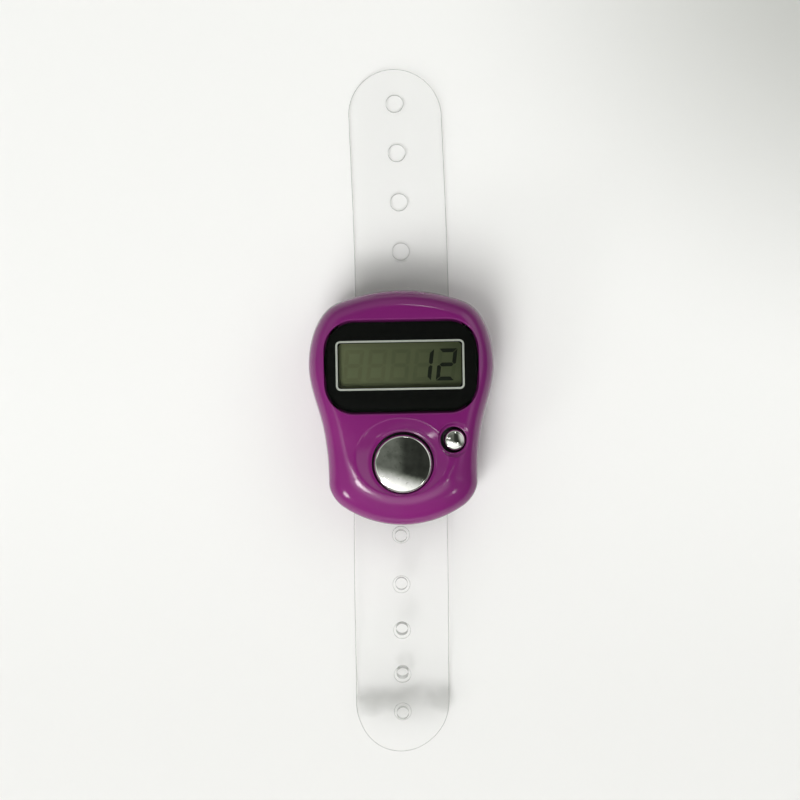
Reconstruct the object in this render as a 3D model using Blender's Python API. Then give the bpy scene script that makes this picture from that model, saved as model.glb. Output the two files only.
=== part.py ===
"""A digital finger counter: a two-part plastic case with a display, a count key and a reset key,
on a clear soft strap that wraps under a finger.

Metres, +Z up. The counter lies on its back: +X is its right side, +Y its display end, z = 0 is the
surface it lies on, and the origin is under the middle of the case.
"""
import math

import bmesh
import bpy
from mathutils import Matrix, Vector

MM = 0.001
FIT = 0.2 * MM              # gap between seated pieces
GLUE = 0.08 * MM            # gap between glued layers
ROUND = 36                  # sides of a large turned piece
SMALL_ROUND = 20            # sides of a small one

# Case outline, seen from above
TOP_Y = 18.4 * MM           # display end
TOP_ARC = 27.0 * MM         # radius of the display end
TOP_ARC_HALF = 9.8 * MM     # the arc runs this far to each side
SHOULDER = (14.55 * MM, 6.7 * MM)
WAIST = (13.1 * MM, -0.4 * MM)
WAIST_LEAN = 16.7           # degrees the side leans in at the waist
FOOT = (11.7 * MM, -11.5 * MM)
FOOT_ARC = 16.5 * MM        # radius of the key end
FOOT_ARC_HALF = 9.4 * MM
BOTTOM_Y = -18.4 * MM
SPAN_STEPS = 6              # points along each span of the outline

# Walls and edges
WALL = 1.3 * MM
ROOF = 1.3 * MM
FRONT_EDGE = 3.4 * MM       # width of the rounding on the front
BACK_EDGE = 2.6 * MM        # and on the back
EDGE_POWER = 2.5            # 2 is an ellipse, more is squarer
EDGE_STEPS = 7
PART_Z = 6.0 * MM           # height of the joint between the covers
LIP_THICK = 0.7 * MM
LIP_RISE = 0.9 * MM
SADDLE = 1.0 * MM           # hollow of the back, where the finger lies
SADDLE_HALF = 12.3 * MM

# Strap
STRAP_WIDTH = 15.0 * MM
STRAP_THICK = 1.0 * MM
STRAP_HALF = 54.5 * MM      # from the middle of the case to a tip
STRAP_PLAY = 0.3 * MM       # clearance above and below it
STRAP_SIDE_PLAY = 0.6 * MM  # and beside it
BAR_THICK = 1.1 * MM        # loop bars that hold it
BAR_INNER_Y = 11.0 * MM
BAR_OUTER_Y = 13.6 * MM
HOLE_R = 1.35 * MM
HOLE_PITCH = 7.95 * MM
HOLE_TO_TIP = 5.55 * MM     # the last hole's middle to the strap's tip
HOLES_FROM = 24.0 * MM      # holes start past this distance from the middle of the case
STUD_PITCH = 7.1 * MM
STUD_TO_TIP = 5.35 * MM
STUDS_FROM = 19.5 * MM
STUD_NECK_R = 1.0 * MM
STUD_NECK = 1.45 * MM
STUD_HEAD_R = 1.4 * MM
STUD_HEAD = 0.9 * MM
BEND_GAP = 0.4 * MM         # each piece stops this far from its bend line
BEND_ROOT = 17.0 * MM       # first bend line, from the middle of the case
HOLE_BEND_BEFORE = 4.9 * MM     # the second one lies this far before the first hole
STUD_BEND_AFTER = 1.95 * MM     # or this far past the first stud
HOLES = 1 + int((STRAP_HALF - HOLE_TO_TIP - HOLES_FROM) / HOLE_PITCH)
STUDS = 1 + int((STRAP_HALF - STUD_TO_TIP - STUDS_FROM) / STUD_PITCH)
LAST_HOLE = STRAP_HALF - HOLE_TO_TIP
LAST_STUD = STRAP_HALF - STUD_TO_TIP
HOLE_FIRST = LAST_HOLE - (HOLES - 1) * HOLE_PITCH
STUD_FIRST = LAST_STUD - (STUDS - 1) * STUD_PITCH
HOLE_SIDE_BENDS = (BEND_ROOT, HOLE_FIRST - HOLE_BEND_BEFORE, LAST_HOLE - 1.5 * HOLE_PITCH)
STUD_SIDE_BENDS = (
    BEND_ROOT,
    STUD_FIRST + STUD_BEND_AFTER,
    LAST_STUD - 1.5 * STUD_PITCH,
    LAST_STUD - 0.5 * STUD_PITCH,
)
# How the strap lies: distance from the case's middle, height of its middle layer
LOOP_Z = BAR_THICK + STRAP_PLAY + STRAP_THICK / 2
FLAT_Z = STRAP_THICK / 2 + 0.06 * MM
HOLE_SIDE_LIE = (
    (BEND_ROOT, LOOP_Z),
    (HOLE_SIDE_BENDS[1], 1.35 * MM),
    (HOLE_FIRST - HOLE_R / 2, FLAT_Z),
    (LAST_HOLE, FLAT_Z),
    (STRAP_HALF, FLAT_Z + 0.3 * MM),
)
RISE = STUD_SIDE_BENDS[2] - STUD_SIDE_BENDS[1]
STUD_SIDE_LIE = (
    (BEND_ROOT, LOOP_Z),
    (STUD_SIDE_BENDS[1], 3.05 * MM),
    (STUD_SIDE_BENDS[1] + 0.3 * RISE, 3.6 * MM),
    (STUD_SIDE_BENDS[1] + 0.65 * RISE, 2.95 * MM),
    (STUD_SIDE_BENDS[2], 1.95 * MM),
    (STUD_SIDE_BENDS[3] - STUD_HEAD_R, FLAT_Z),
    (STUD_SIDE_BENDS[3], FLAT_Z + 0.3 * MM),
    (LAST_STUD, 2.4 * MM),
    (STRAP_HALF, 4.8 * MM),
)
# It sways a little sideways in its loops: place along the case, place of its middle
SWAY = (
    (-STRAP_HALF, -0.7 * MM),
    (-BEND_ROOT, -0.5 * MM),
    (BEND_ROOT, 0.3 * MM),
    (STRAP_HALF, -0.5 * MM),
)

# Display
LENS_WIDTH = 23.3 * MM
LENS_HEIGHT = 13.9 * MM
LENS_RADIUS = 4.4 * MM
LENS_THICK = 0.9 * MM
LENS_Y = 6.3 * MM           # middle of the display
LENS_RECESS = 0.25 * MM
LENS_BEVEL = 0.2 * MM
FILM_THICK = 0.15 * MM
WINDOW_WIDTH = 18.7 * MM
WINDOW_HEIGHT = 7.0 * MM
WINDOW_RADIUS = 0.9 * MM
LEDGE = 0.8 * MM            # plastic under the lens
LEDGE_CLEAR = 0.6 * MM      # its opening is this much larger than the window all round
GLASS_WIDTH = 19.8 * MM
GLASS_HEIGHT = 8.9 * MM
GLASS_THICK = 0.55 * MM
GLASS_SHIFT = -0.45 * MM    # the glass sits this much below the window's middle
CONTACT_LEDGE = 1.3 * MM    # the front glass overhangs the rear one by this
POLARIZER_THICK = 0.2 * MM
REFLECTOR_THICK = 0.15 * MM
HOLDER_WALL = 0.5 * MM
HOLDER_SHELF = 0.35 * MM
HOLDER_CORNER = 0.7 * MM
NEST_CORNER = 0.4 * MM      # corners of the openings in the holder
GLASS_CORNER = 0.3 * MM
POLARIZER_OVER = 0.5 * MM   # the polarizer is this much taller than the window
ZEBRA_WIDTH = 0.9 * MM

# Board and cell
BOARD_THICK = 0.8 * MM
BOARD_INSET = 1.75 * MM
CELL_R = 5.8 * MM
CELL_THICK = 3.05 * MM
CELL_Y = 2.0 * MM
CELL_CHAMFER = 0.4 * MM
CELL_FLOOR = 1.0 * MM       # wall between the strap and the cell
CLIP_ROOM = 0.5 * MM        # height for the contact between the cell and the board
CLIP_THICK = 0.15 * MM
CLIP_HALF = 1.6 * MM
CELL_RING = 0.9 * MM        # wall round the cell
CELL_CAP = 0.35 * MM        # the negative cap stands this far above the can
LEAF_FLAT = 0.8 * MM        # half length of the spring contact where it touches the cap
LEAF_REACH = 2.2 * MM       # how far a contact's end runs on
POTTING_R = 1.7 * MM
POTTING_RISE = 0.9 * MM
PARTS_BELOW = 2.3 * MM      # the board's parts stand this far below the display's holder
RESISTOR = (1.6 * MM, 0.8 * MM, 0.45 * MM)
CAPACITOR = (2.0 * MM, 1.25 * MM, 0.8 * MM)
CHIP_CORNER = 0.1 * MM
CHIP_BEVEL = 0.08 * MM

# Keys
COUNT_Y = -8.65 * MM
COUNT_R = 4.5 * MM
COUNT_HOLE_GAP = 0.42 * MM
COUNT_FLANGE = 0.8 * MM     # how far the flange stands out
COUNT_PROUD = 0.3 * MM
RESET_X = 8.0 * MM
RESET_Y = -5.1 * MM
RESET_R = 1.65 * MM
RESET_HOLE_GAP = 0.38 * MM
RESET_FLANGE = 0.7 * MM
RESET_SUNK = 0.25 * MM
FLANGE_THICK = 0.7 * MM
CROWN = 0.4 * MM            # rise of a key's dome
KEY_EDGE = 0.7 * MM
BOWL_X = -0.5 * MM          # the bowl is wider on the side away from the reset key
BOWL_Y = COUNT_Y + 0.35 * MM
BOWL_X_HALF = 7.0 * MM
BOWL_Y_HALF = 6.0 * MM
BOWL_DEPTH = 1.45 * MM
BOWL_WALL = 1.2 * MM
BOWL_FLAT = 0.66            # share of its width that the bowl's flat floor takes
DISH_R = 2.75 * MM
DISH_DEPTH = 0.55 * MM
RIM_OVER = 0.06 * MM        # cutters of the bowl and the dish end this far above the case
LEDGE_MARGIN = 0.8 * MM     # thick plastic round the lens seat
BOWL_MARGIN = 0.6 * MM      # and round the bowl
GUIDE_WALL = 1.1 * MM       # and round the reset key's hole
PAD_TIP = 2.2 * MM          # radius of the pad that pushes the count key up
PAD_BASE_R = 4.0 * MM
PAD_BASE = 0.35 * MM
PAD_SKIRT = 0.7 * MM        # the pad's soft cone spreads by this much
PAD_CONE = 0.9 * MM         # and is this tall
PAD_GAP = 1.1 * MM          # room round the pad inside the count key
CROWN_ROOF = 0.4 * MM       # the hollow of the count key ends this far above the bowl's floor

# Screws
CASE_SCREW_R = 0.8 * MM
CASE_HEAD_R = 1.4 * MM
CASE_HEAD = 0.7 * MM
CASE_SCREW_LONG = 5.0 * MM
CASE_SCREW_X = 10.3 * MM
CASE_SCREW_TOP_Y = 12.6 * MM
CASE_SCREW_LOW_Y = -15.7 * MM
SCREW_GAP = 0.15 * MM       # clearance round a shank
BOSS_WALL = 0.6 * MM
HEAD_GAP = 0.2 * MM
WEB = 0.8 * MM              # plastic that a head pulls against
HEAD_SINK = 0.2 * MM        # case screws' heads lie this far under the cell's floor
DOOR_SCREW_LONG = 2.2 * MM
DOOR_HEAD = 0.3 * MM
DOOR_HEAD_SINK = 0.2 * MM   # depth of the seat for it in the door
BLIND_END = 0.4 * MM        # plastic past the tip of the door's screw
BOARD_SCREW_R = 0.6 * MM
BOARD_HEAD_R = 1.1 * MM
BOARD_HEAD = 0.5 * MM
BOARD_SCREW_LONG = 2.6 * MM
BOARD_SCREW_X = 9.4 * MM
BOARD_SCREW_Y = -1.0 * MM

# Heights that follow, from the back upwards
GROOVE_Z = BAR_THICK + STRAP_THICK + 2 * STRAP_PLAY
FLOOR_Z = GROOVE_Z + CELL_FLOOR
DOOR_PLATE = 0.4 * MM
DOOR_MARGIN = 1.6 * MM      # the door runs this far past the cell
DOOR_CORNER = 1.2 * MM
DOOR_EDGE = 0.6 * MM        # plastic between the door's edge and its screw head, and the groove's side
DOOR_TOP_Z = FLOOR_Z - 0.1 * MM
CELL_Z = DOOR_TOP_Z + FIT
BOARD_Z = CELL_Z + CELL_THICK + CLIP_ROOM
BOARD_TOP_Z = BOARD_Z + BOARD_THICK
HOLDER_Z = BOARD_TOP_Z + FIT
ZEBRA_TALL = 1.8 * MM
FRONT_GLASS_Z = HOLDER_Z + ZEBRA_TALL + GLUE
REAR_GLASS_Z = FRONT_GLASS_Z - GLUE - GLASS_THICK
REFLECTOR_Z = REAR_GLASS_Z - GLUE - REFLECTOR_THICK
SHELF_Z = REFLECTOR_Z - GLUE - HOLDER_SHELF
POLARIZER_Z = FRONT_GLASS_Z + GLASS_THICK + GLUE
DISPLAY_TOP_Z = POLARIZER_Z + POLARIZER_THICK
LEDGE_Z = DISPLAY_TOP_Z + FIT
SEAT_Z = LEDGE_Z + LEDGE
FILM_Z = SEAT_Z + GLUE
LENS_Z = FILM_Z + FILM_THICK + GLUE
CASE_TOP = LENS_Z + LENS_THICK + LENS_RECESS
BOWL_Z = CASE_TOP - BOWL_DEPTH
GUIDE_Z = BOWL_Z - BOWL_WALL            # underside of the plastic round the keys
FLANGE_TOP = GUIDE_Z - FIT
FLANGE_Z = FLANGE_TOP - FLANGE_THICK
GLASS_Y = LENS_Y + GLASS_SHIFT
COUNT_HOLE_R = COUNT_R + COUNT_HOLE_GAP
RESET_HOLE_R = RESET_R + RESET_HOLE_GAP
CASE_BOSS_R = CASE_SCREW_R + SCREW_GAP + BOSS_WALL
BOARD_BOSS_R = BOARD_SCREW_R + SCREW_GAP + BOSS_WALL
CELL_RING_R = CELL_R + FIT + CELL_RING
DOOR_HALF = STRAP_WIDTH / 2 - DOOR_EDGE
DOOR_TOP_Y = CELL_Y + CELL_R + DOOR_MARGIN
DOOR_SCREW_Y = CELL_Y - CELL_RING_R - FIT - CASE_BOSS_R
DOOR_LOW_Y = DOOR_SCREW_Y - CASE_HEAD_R - DOOR_EDGE
DOOR_HEAD_Z = GROOVE_Z + DOOR_HEAD_SINK - GLUE
CASE_HEAD_Z = FLOOR_Z - HEAD_SINK       # top of a case screw's head
CASE_BOSS_Z = CASE_HEAD_Z + HEAD_GAP + WEB + FIT
CASE_SCREWS = (
    (CASE_SCREW_X, CASE_SCREW_TOP_Y),
    (-CASE_SCREW_X, CASE_SCREW_TOP_Y),
    (0.0, CASE_SCREW_LOW_Y),
)
BOARD_SCREWS = ((BOARD_SCREW_X, BOARD_SCREW_Y), (-BOARD_SCREW_X, BOARD_SCREW_Y))


def clear_scene():
    """Removes whatever the file opened with."""
    for item in list(bpy.data.objects):
        bpy.data.objects.remove(item, do_unlink=True)


def material(name, colour, roughness, metallic=0.0, alpha=1.0):
    """A plain Principled material, made once for each name."""
    found = bpy.data.materials.get(name)
    if found:
        return found
    made = bpy.data.materials.new(name)
    made.use_nodes = True
    shader = made.node_tree.nodes["Principled BSDF"]
    shader.inputs["Base Color"].default_value = (*colour, 1.0)
    shader.inputs["Roughness"].default_value = roughness
    shader.inputs["Metallic"].default_value = metallic
    shader.inputs["Alpha"].default_value = alpha
    return made


def purple():
    return material("purple_plastic", (0.30, 0.012, 0.27), 0.22)


def clear_vinyl():
    return material("clear_vinyl", (0.86, 0.88, 0.89), 0.15, alpha=0.35)


def glass():
    return material("display_glass", (0.46, 0.50, 0.42), 0.05, alpha=0.5)


def steel():
    return material("bright_steel", (0.62, 0.62, 0.63), 0.25, 1.0)


def chrome():
    return material("chrome", (0.72, 0.74, 0.74), 0.06, 1.0)


def grey_rubber():
    return material("grey_rubber", (0.32, 0.32, 0.34), 0.7)


def new_object(name, bm, look=None, cutter=False):
    """Puts a bmesh in the scene as one object, its faces pointing out."""
    bmesh.ops.recalc_face_normals(bm, faces=bm.faces)
    mesh = bpy.data.meshes.new(name)
    bm.to_mesh(mesh)
    bm.free()
    made = bpy.data.objects.new(name, mesh)
    bpy.context.scene.collection.objects.link(made)
    if cutter:
        made.hide_render = True
        made.display_type = "WIRE"
        made.hide_set(True)
    else:
        mesh.materials.append(look)
        mesh.shade_smooth()
        mesh.set_sharp_from_angle(angle=math.radians(35))
    return made


def boolean(target, other, operation="DIFFERENCE"):
    """Adds an exact Boolean to target."""
    step = target.modifiers.new(other.name, "BOOLEAN")
    step.operation = operation
    step.object = other
    step.solver = "EXACT"


def loft(rings):
    """A closed body through rings of equally many points, with a flat face on the first and the last."""
    bm = bmesh.new()
    made = [[bm.verts.new(p) for p in ring] for ring in rings]
    count = len(rings[0])
    for low, high in zip(made, made[1:]):
        for i in range(count):
            j = (i + 1) % count
            bm.faces.new((low[i], low[j], high[j], high[i]))
    bm.faces.new(made[0])
    bm.faces.new(list(reversed(made[-1])))
    return bm


def turned(profile, sides, at=(0.0, 0.0), phase=0.0):
    """A body of revolution. The profile is a list of (radius, height) that starts and ends on the axis.
    The phase turns its corners by that share of a side."""
    bm = bmesh.new()
    rings = []
    for radius, height in profile:
        if radius <= 0:
            rings.append([bm.verts.new((at[0], at[1], height))])
        else:
            turn = [2 * math.pi * (k + phase) / sides for k in range(sides)]
            rings.append(
                [bm.verts.new((at[0] + radius * math.cos(t), at[1] + radius * math.sin(t), height)) for t in turn]
            )
    for low, high in zip(rings, rings[1:]):
        for i in range(sides):
            j = (i + 1) % sides
            if len(low) == 1:
                bm.faces.new((low[0], high[j], high[i]))
            elif len(high) == 1:
                bm.faces.new((low[i], low[j], high[0]))
            else:
                bm.faces.new((low[i], low[j], high[j], high[i]))
    return bm


def rounded_rectangle(width, height, radius, centre, z, corner_steps=6):
    """Points round a rectangle with round corners, at height z."""
    points = []
    for k, (sx, sy) in enumerate(((1, 1), (-1, 1), (-1, -1), (1, -1))):
        cx = centre[0] + sx * (width / 2 - radius)
        cy = centre[1] + sy * (height / 2 - radius)
        for step in range(corner_steps + 1):
            t = math.radians(90 * k + 90 * step / corner_steps)
            points.append((cx + radius * math.cos(t), cy + radius * math.sin(t), z))
    return points


def rounded_block(width, height, radius, centre, low, high, bevel=0.0):
    """An upright block with round corners, and a bevelled top edge if asked."""
    rings = [rounded_rectangle(width, height, radius, centre, low)]
    if bevel:
        rings.append(rounded_rectangle(width, height, radius, centre, high - bevel))
        small = (width - 2 * bevel, height - 2 * bevel, radius - bevel)
        rings.append(rounded_rectangle(*small, centre, high))
    else:
        rings.append(rounded_rectangle(width, height, radius, centre, high))
    return loft(rings)


def box(low, high):
    """A plain block between two corners."""
    bm = bmesh.new()
    size = [high[i] - low[i] for i in range(3)]
    middle = [(high[i] + low[i]) / 2 for i in range(3)]
    bmesh.ops.create_cube(bm, size=1.0, matrix=Matrix.Translation(middle) @ Matrix.Diagonal((*size, 1.0)))
    return bm


def prism(profile, low_x, high_x):
    """A body whose outline in Y and Z is given, between two values of X."""
    return loft([[(x, y, z) for y, z in profile] for x in (low_x, high_x)])


def hermite(start, end, start_heading, end_heading, t):
    """A point on the cubic between two points that leave and arrive along the headings, in degrees."""
    reach = math.dist(start, end)
    a = [reach * f(math.radians(start_heading)) for f in (math.cos, math.sin)]
    b = [reach * f(math.radians(end_heading)) for f in (math.cos, math.sin)]
    h = (2 * t**3 - 3 * t**2 + 1, t**3 - 2 * t**2 + t, -2 * t**3 + 3 * t**2, t**3 - t**2)
    return tuple(h[0] * start[i] + h[1] * a[i] + h[2] * end[i] + h[3] * b[i] for i in range(2))


def case_outline():
    """Points round the case at its widest, anticlockwise from the middle of the key end."""
    top_drop = TOP_ARC - math.sqrt(TOP_ARC**2 - TOP_ARC_HALF**2)
    top_turn = math.degrees(math.asin(TOP_ARC_HALF / TOP_ARC))
    foot_rise = FOOT_ARC - math.sqrt(FOOT_ARC**2 - FOOT_ARC_HALF**2)
    foot_turn = math.degrees(math.asin(FOOT_ARC_HALF / FOOT_ARC))
    stations = (
        ((0.0, BOTTOM_Y), 0.0),
        ((FOOT_ARC_HALF, BOTTOM_Y + foot_rise), foot_turn),
        (FOOT, 90.0),
        (WAIST, 90.0 - WAIST_LEAN),
        (SHOULDER, 90.0),
        ((TOP_ARC_HALF, TOP_Y - top_drop), 180.0 - top_turn),
        ((0.0, TOP_Y), 180.0),
    )
    right = []
    for (start, leave), (end, arrive) in zip(stations, stations[1:]):
        for step in range(SPAN_STEPS):
            right.append(hermite(start, end, leave, arrive, step / SPAN_STEPS))
    right.append((0.0, TOP_Y))
    left = [(-x, y) for x, y in reversed(right[1:-1])]
    return right + left


def inset_ring(outline, inset, z):
    """The outline moved inwards along its own normals, at height z."""
    ring = []
    for i, (x, y) in enumerate(outline):
        before = Vector(outline[i - 1])
        after = Vector(outline[(i + 1) % len(outline)])
        along = (after - before).normalized()
        ring.append((x - along.y * inset, y + along.x * inset, z))
    return ring


def edge_rings(outline, first_inset, z_from, z_to, width, steps):
    """Rings of a rounded edge: upright at z_from, level at z_to, drawn in by width."""
    rings = []
    for step in range(steps + 1):
        t = math.radians(90 * step / steps)
        drawn = width * (1 - math.cos(t) ** (2 / EDGE_POWER)) if step < steps else width
        rise = math.sin(t) ** (2 / EDGE_POWER)
        rings.append(inset_ring(outline, first_inset + drawn, z_from + (z_to - z_from) * rise))
    return rings


def front_cover(outline):
    """The upper shell: lens seat, display window, bowl and dish round the keys, and screw bosses."""
    low = PART_Z + FIT / 2
    outer = edge_rings(outline, 0.0, low, CASE_TOP, FRONT_EDGE, EDGE_STEPS)
    inner = edge_rings(outline, WALL, low, CASE_TOP - ROOF, FRONT_EDGE - WALL, EDGE_STEPS - 2)
    cover = new_object("front_cover", loft(list(reversed(outer)) + inner), purple())

    # Bosses and thick places, held inside the shell's own wall
    half_wall = WALL / 2
    trim_rings = [inset_ring(outline, half_wall, FLOOR_Z)]
    trim_rings += edge_rings(outline, half_wall, low, CASE_TOP - half_wall, FRONT_EDGE - half_wall, EDGE_STEPS)
    trim = new_object("trim_front_inserts", loft(trim_rings), cutter=True)
    inserts = []
    block_size = (LENS_WIDTH + 2 * LEDGE_MARGIN, LENS_HEIGHT + 2 * LEDGE_MARGIN, LENS_RADIUS)
    block = rounded_block(*block_size, (0.0, LENS_Y), LEDGE_Z, CASE_TOP)
    inserts.append(new_object("insert_display_ledge", block, cutter=True))
    around = [2 * math.pi * k / ROUND for k in range(ROUND)]
    reach = (BOWL_X_HALF + BOWL_MARGIN, BOWL_Y_HALF + BOWL_MARGIN)
    ovals = [
        [(BOWL_X + reach[0] * math.cos(t), BOWL_Y + reach[1] * math.sin(t), z) for t in around]
        for z in (GUIDE_Z, CASE_TOP)
    ]
    inserts.append(new_object("insert_bowl", loft(ovals), cutter=True))
    guide_r = RESET_HOLE_R + GUIDE_WALL
    guide_z = GUIDE_Z + 0.1 * MM
    guide = [(0, guide_z), (guide_r, guide_z), (guide_r, CASE_TOP), (0, CASE_TOP)]
    inserts.append(new_object("insert_reset_guide", turned(guide, SMALL_ROUND, (RESET_X, RESET_Y)), cutter=True))
    for k, spot in enumerate(CASE_SCREWS):
        post = [(0, CASE_BOSS_Z), (CASE_BOSS_R, CASE_BOSS_Z), (CASE_BOSS_R, CASE_TOP), (0, CASE_TOP)]
        inserts.append(new_object(f"insert_case_boss_{k + 1}", turned(post, SMALL_ROUND, spot), cutter=True))
    board_post_z = BOARD_TOP_Z + FIT
    for k, spot in enumerate(BOARD_SCREWS):
        post = [(0, board_post_z), (BOARD_BOSS_R, board_post_z), (BOARD_BOSS_R, CASE_TOP), (0, CASE_TOP)]
        inserts.append(new_object(f"insert_board_boss_{k + 1}", turned(post, SMALL_ROUND, spot), cutter=True))
    for insert in inserts:
        boolean(insert, trim, "INTERSECT")
        boolean(cover, insert, "UNION")

    # Lens seat and the window under it
    seat_size = (LENS_WIDTH + 2 * FIT, LENS_HEIGHT + 2 * FIT, LENS_RADIUS + FIT)
    over = CASE_TOP + 2 * MM
    seat = new_object("cut_lens_seat", rounded_block(*seat_size, (0.0, LENS_Y), SEAT_Z, over), cutter=True)
    window = rounded_block(
        WINDOW_WIDTH + 2 * LEDGE_CLEAR,
        WINDOW_HEIGHT + 2 * LEDGE_CLEAR,
        WINDOW_RADIUS,
        (0.0, LENS_Y),
        LEDGE_Z - MM,
        over,
    )
    boolean(cover, seat)
    boolean(cover, new_object("cut_window", window, cutter=True))

    # Bowl: a flat floor that curves up to an oval rim
    rings = []
    for step in range(7):
        t = math.radians(90 * step / 6)
        grow = BOWL_FLAT + (1 - BOWL_FLAT) * math.sin(t)
        z = BOWL_Z + (BOWL_DEPTH + RIM_OVER) * (1 - math.cos(t))
        rings.append((grow, z))
    rings.append((1.0 + RIM_OVER / BOWL_Y_HALF, over))
    bowl_rings = [
        [(BOWL_X + BOWL_X_HALF * grow * math.cos(t), BOWL_Y + BOWL_Y_HALF * grow * math.sin(t), z) for t in around]
        for grow, z in rings
    ]
    boolean(cover, new_object("cut_bowl", loft(bowl_rings), cutter=True))
    count_hole = [(0, GUIDE_Z - MM), (COUNT_HOLE_R, GUIDE_Z - MM), (COUNT_HOLE_R, over), (0, over)]
    boolean(cover, new_object("cut_count_hole", turned(count_hole, ROUND, (0.0, COUNT_Y), 0.4), cutter=True))
    dish = [(0, CASE_TOP - DISH_DEPTH), (RESET_HOLE_R, CASE_TOP - DISH_DEPTH), (DISH_R, CASE_TOP + RIM_OVER)]
    dish += [(DISH_R, over), (0, over)]
    boolean(cover, new_object("cut_reset_dish", turned(dish, SMALL_ROUND, (RESET_X, RESET_Y)), cutter=True))
    reset_hole = [(0, GUIDE_Z - MM), (RESET_HOLE_R, GUIDE_Z - MM), (RESET_HOLE_R, over), (0, over)]
    boolean(cover, new_object("cut_reset_hole", turned(reset_hole, SMALL_ROUND, (RESET_X, RESET_Y), 0.4), cutter=True))

    # Blind holes for the screws
    bore = CASE_SCREW_R + SCREW_GAP
    bore_top = CASE_HEAD_Z + CASE_SCREW_LONG + FIT
    for k, spot in enumerate(CASE_SCREWS):
        hole = [(0, CASE_BOSS_Z - MM), (bore, CASE_BOSS_Z - MM), (bore, bore_top), (0, bore_top)]
        boolean(cover, new_object(f"cut_case_bore_{k + 1}", turned(hole, SMALL_ROUND, spot, 0.4), cutter=True))
    bore = BOARD_SCREW_R + SCREW_GAP
    bore_top = BOARD_Z - GLUE + BOARD_SCREW_LONG + FIT
    for k, spot in enumerate(BOARD_SCREWS):
        hole = [(0, board_post_z - 0.1 * MM), (bore, board_post_z - 0.1 * MM), (bore, bore_top), (0, bore_top)]
        boolean(cover, new_object(f"cut_board_bore_{k + 1}", turned(hole, SMALL_ROUND, spot, 0.4), cutter=True))
    return cover


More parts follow.
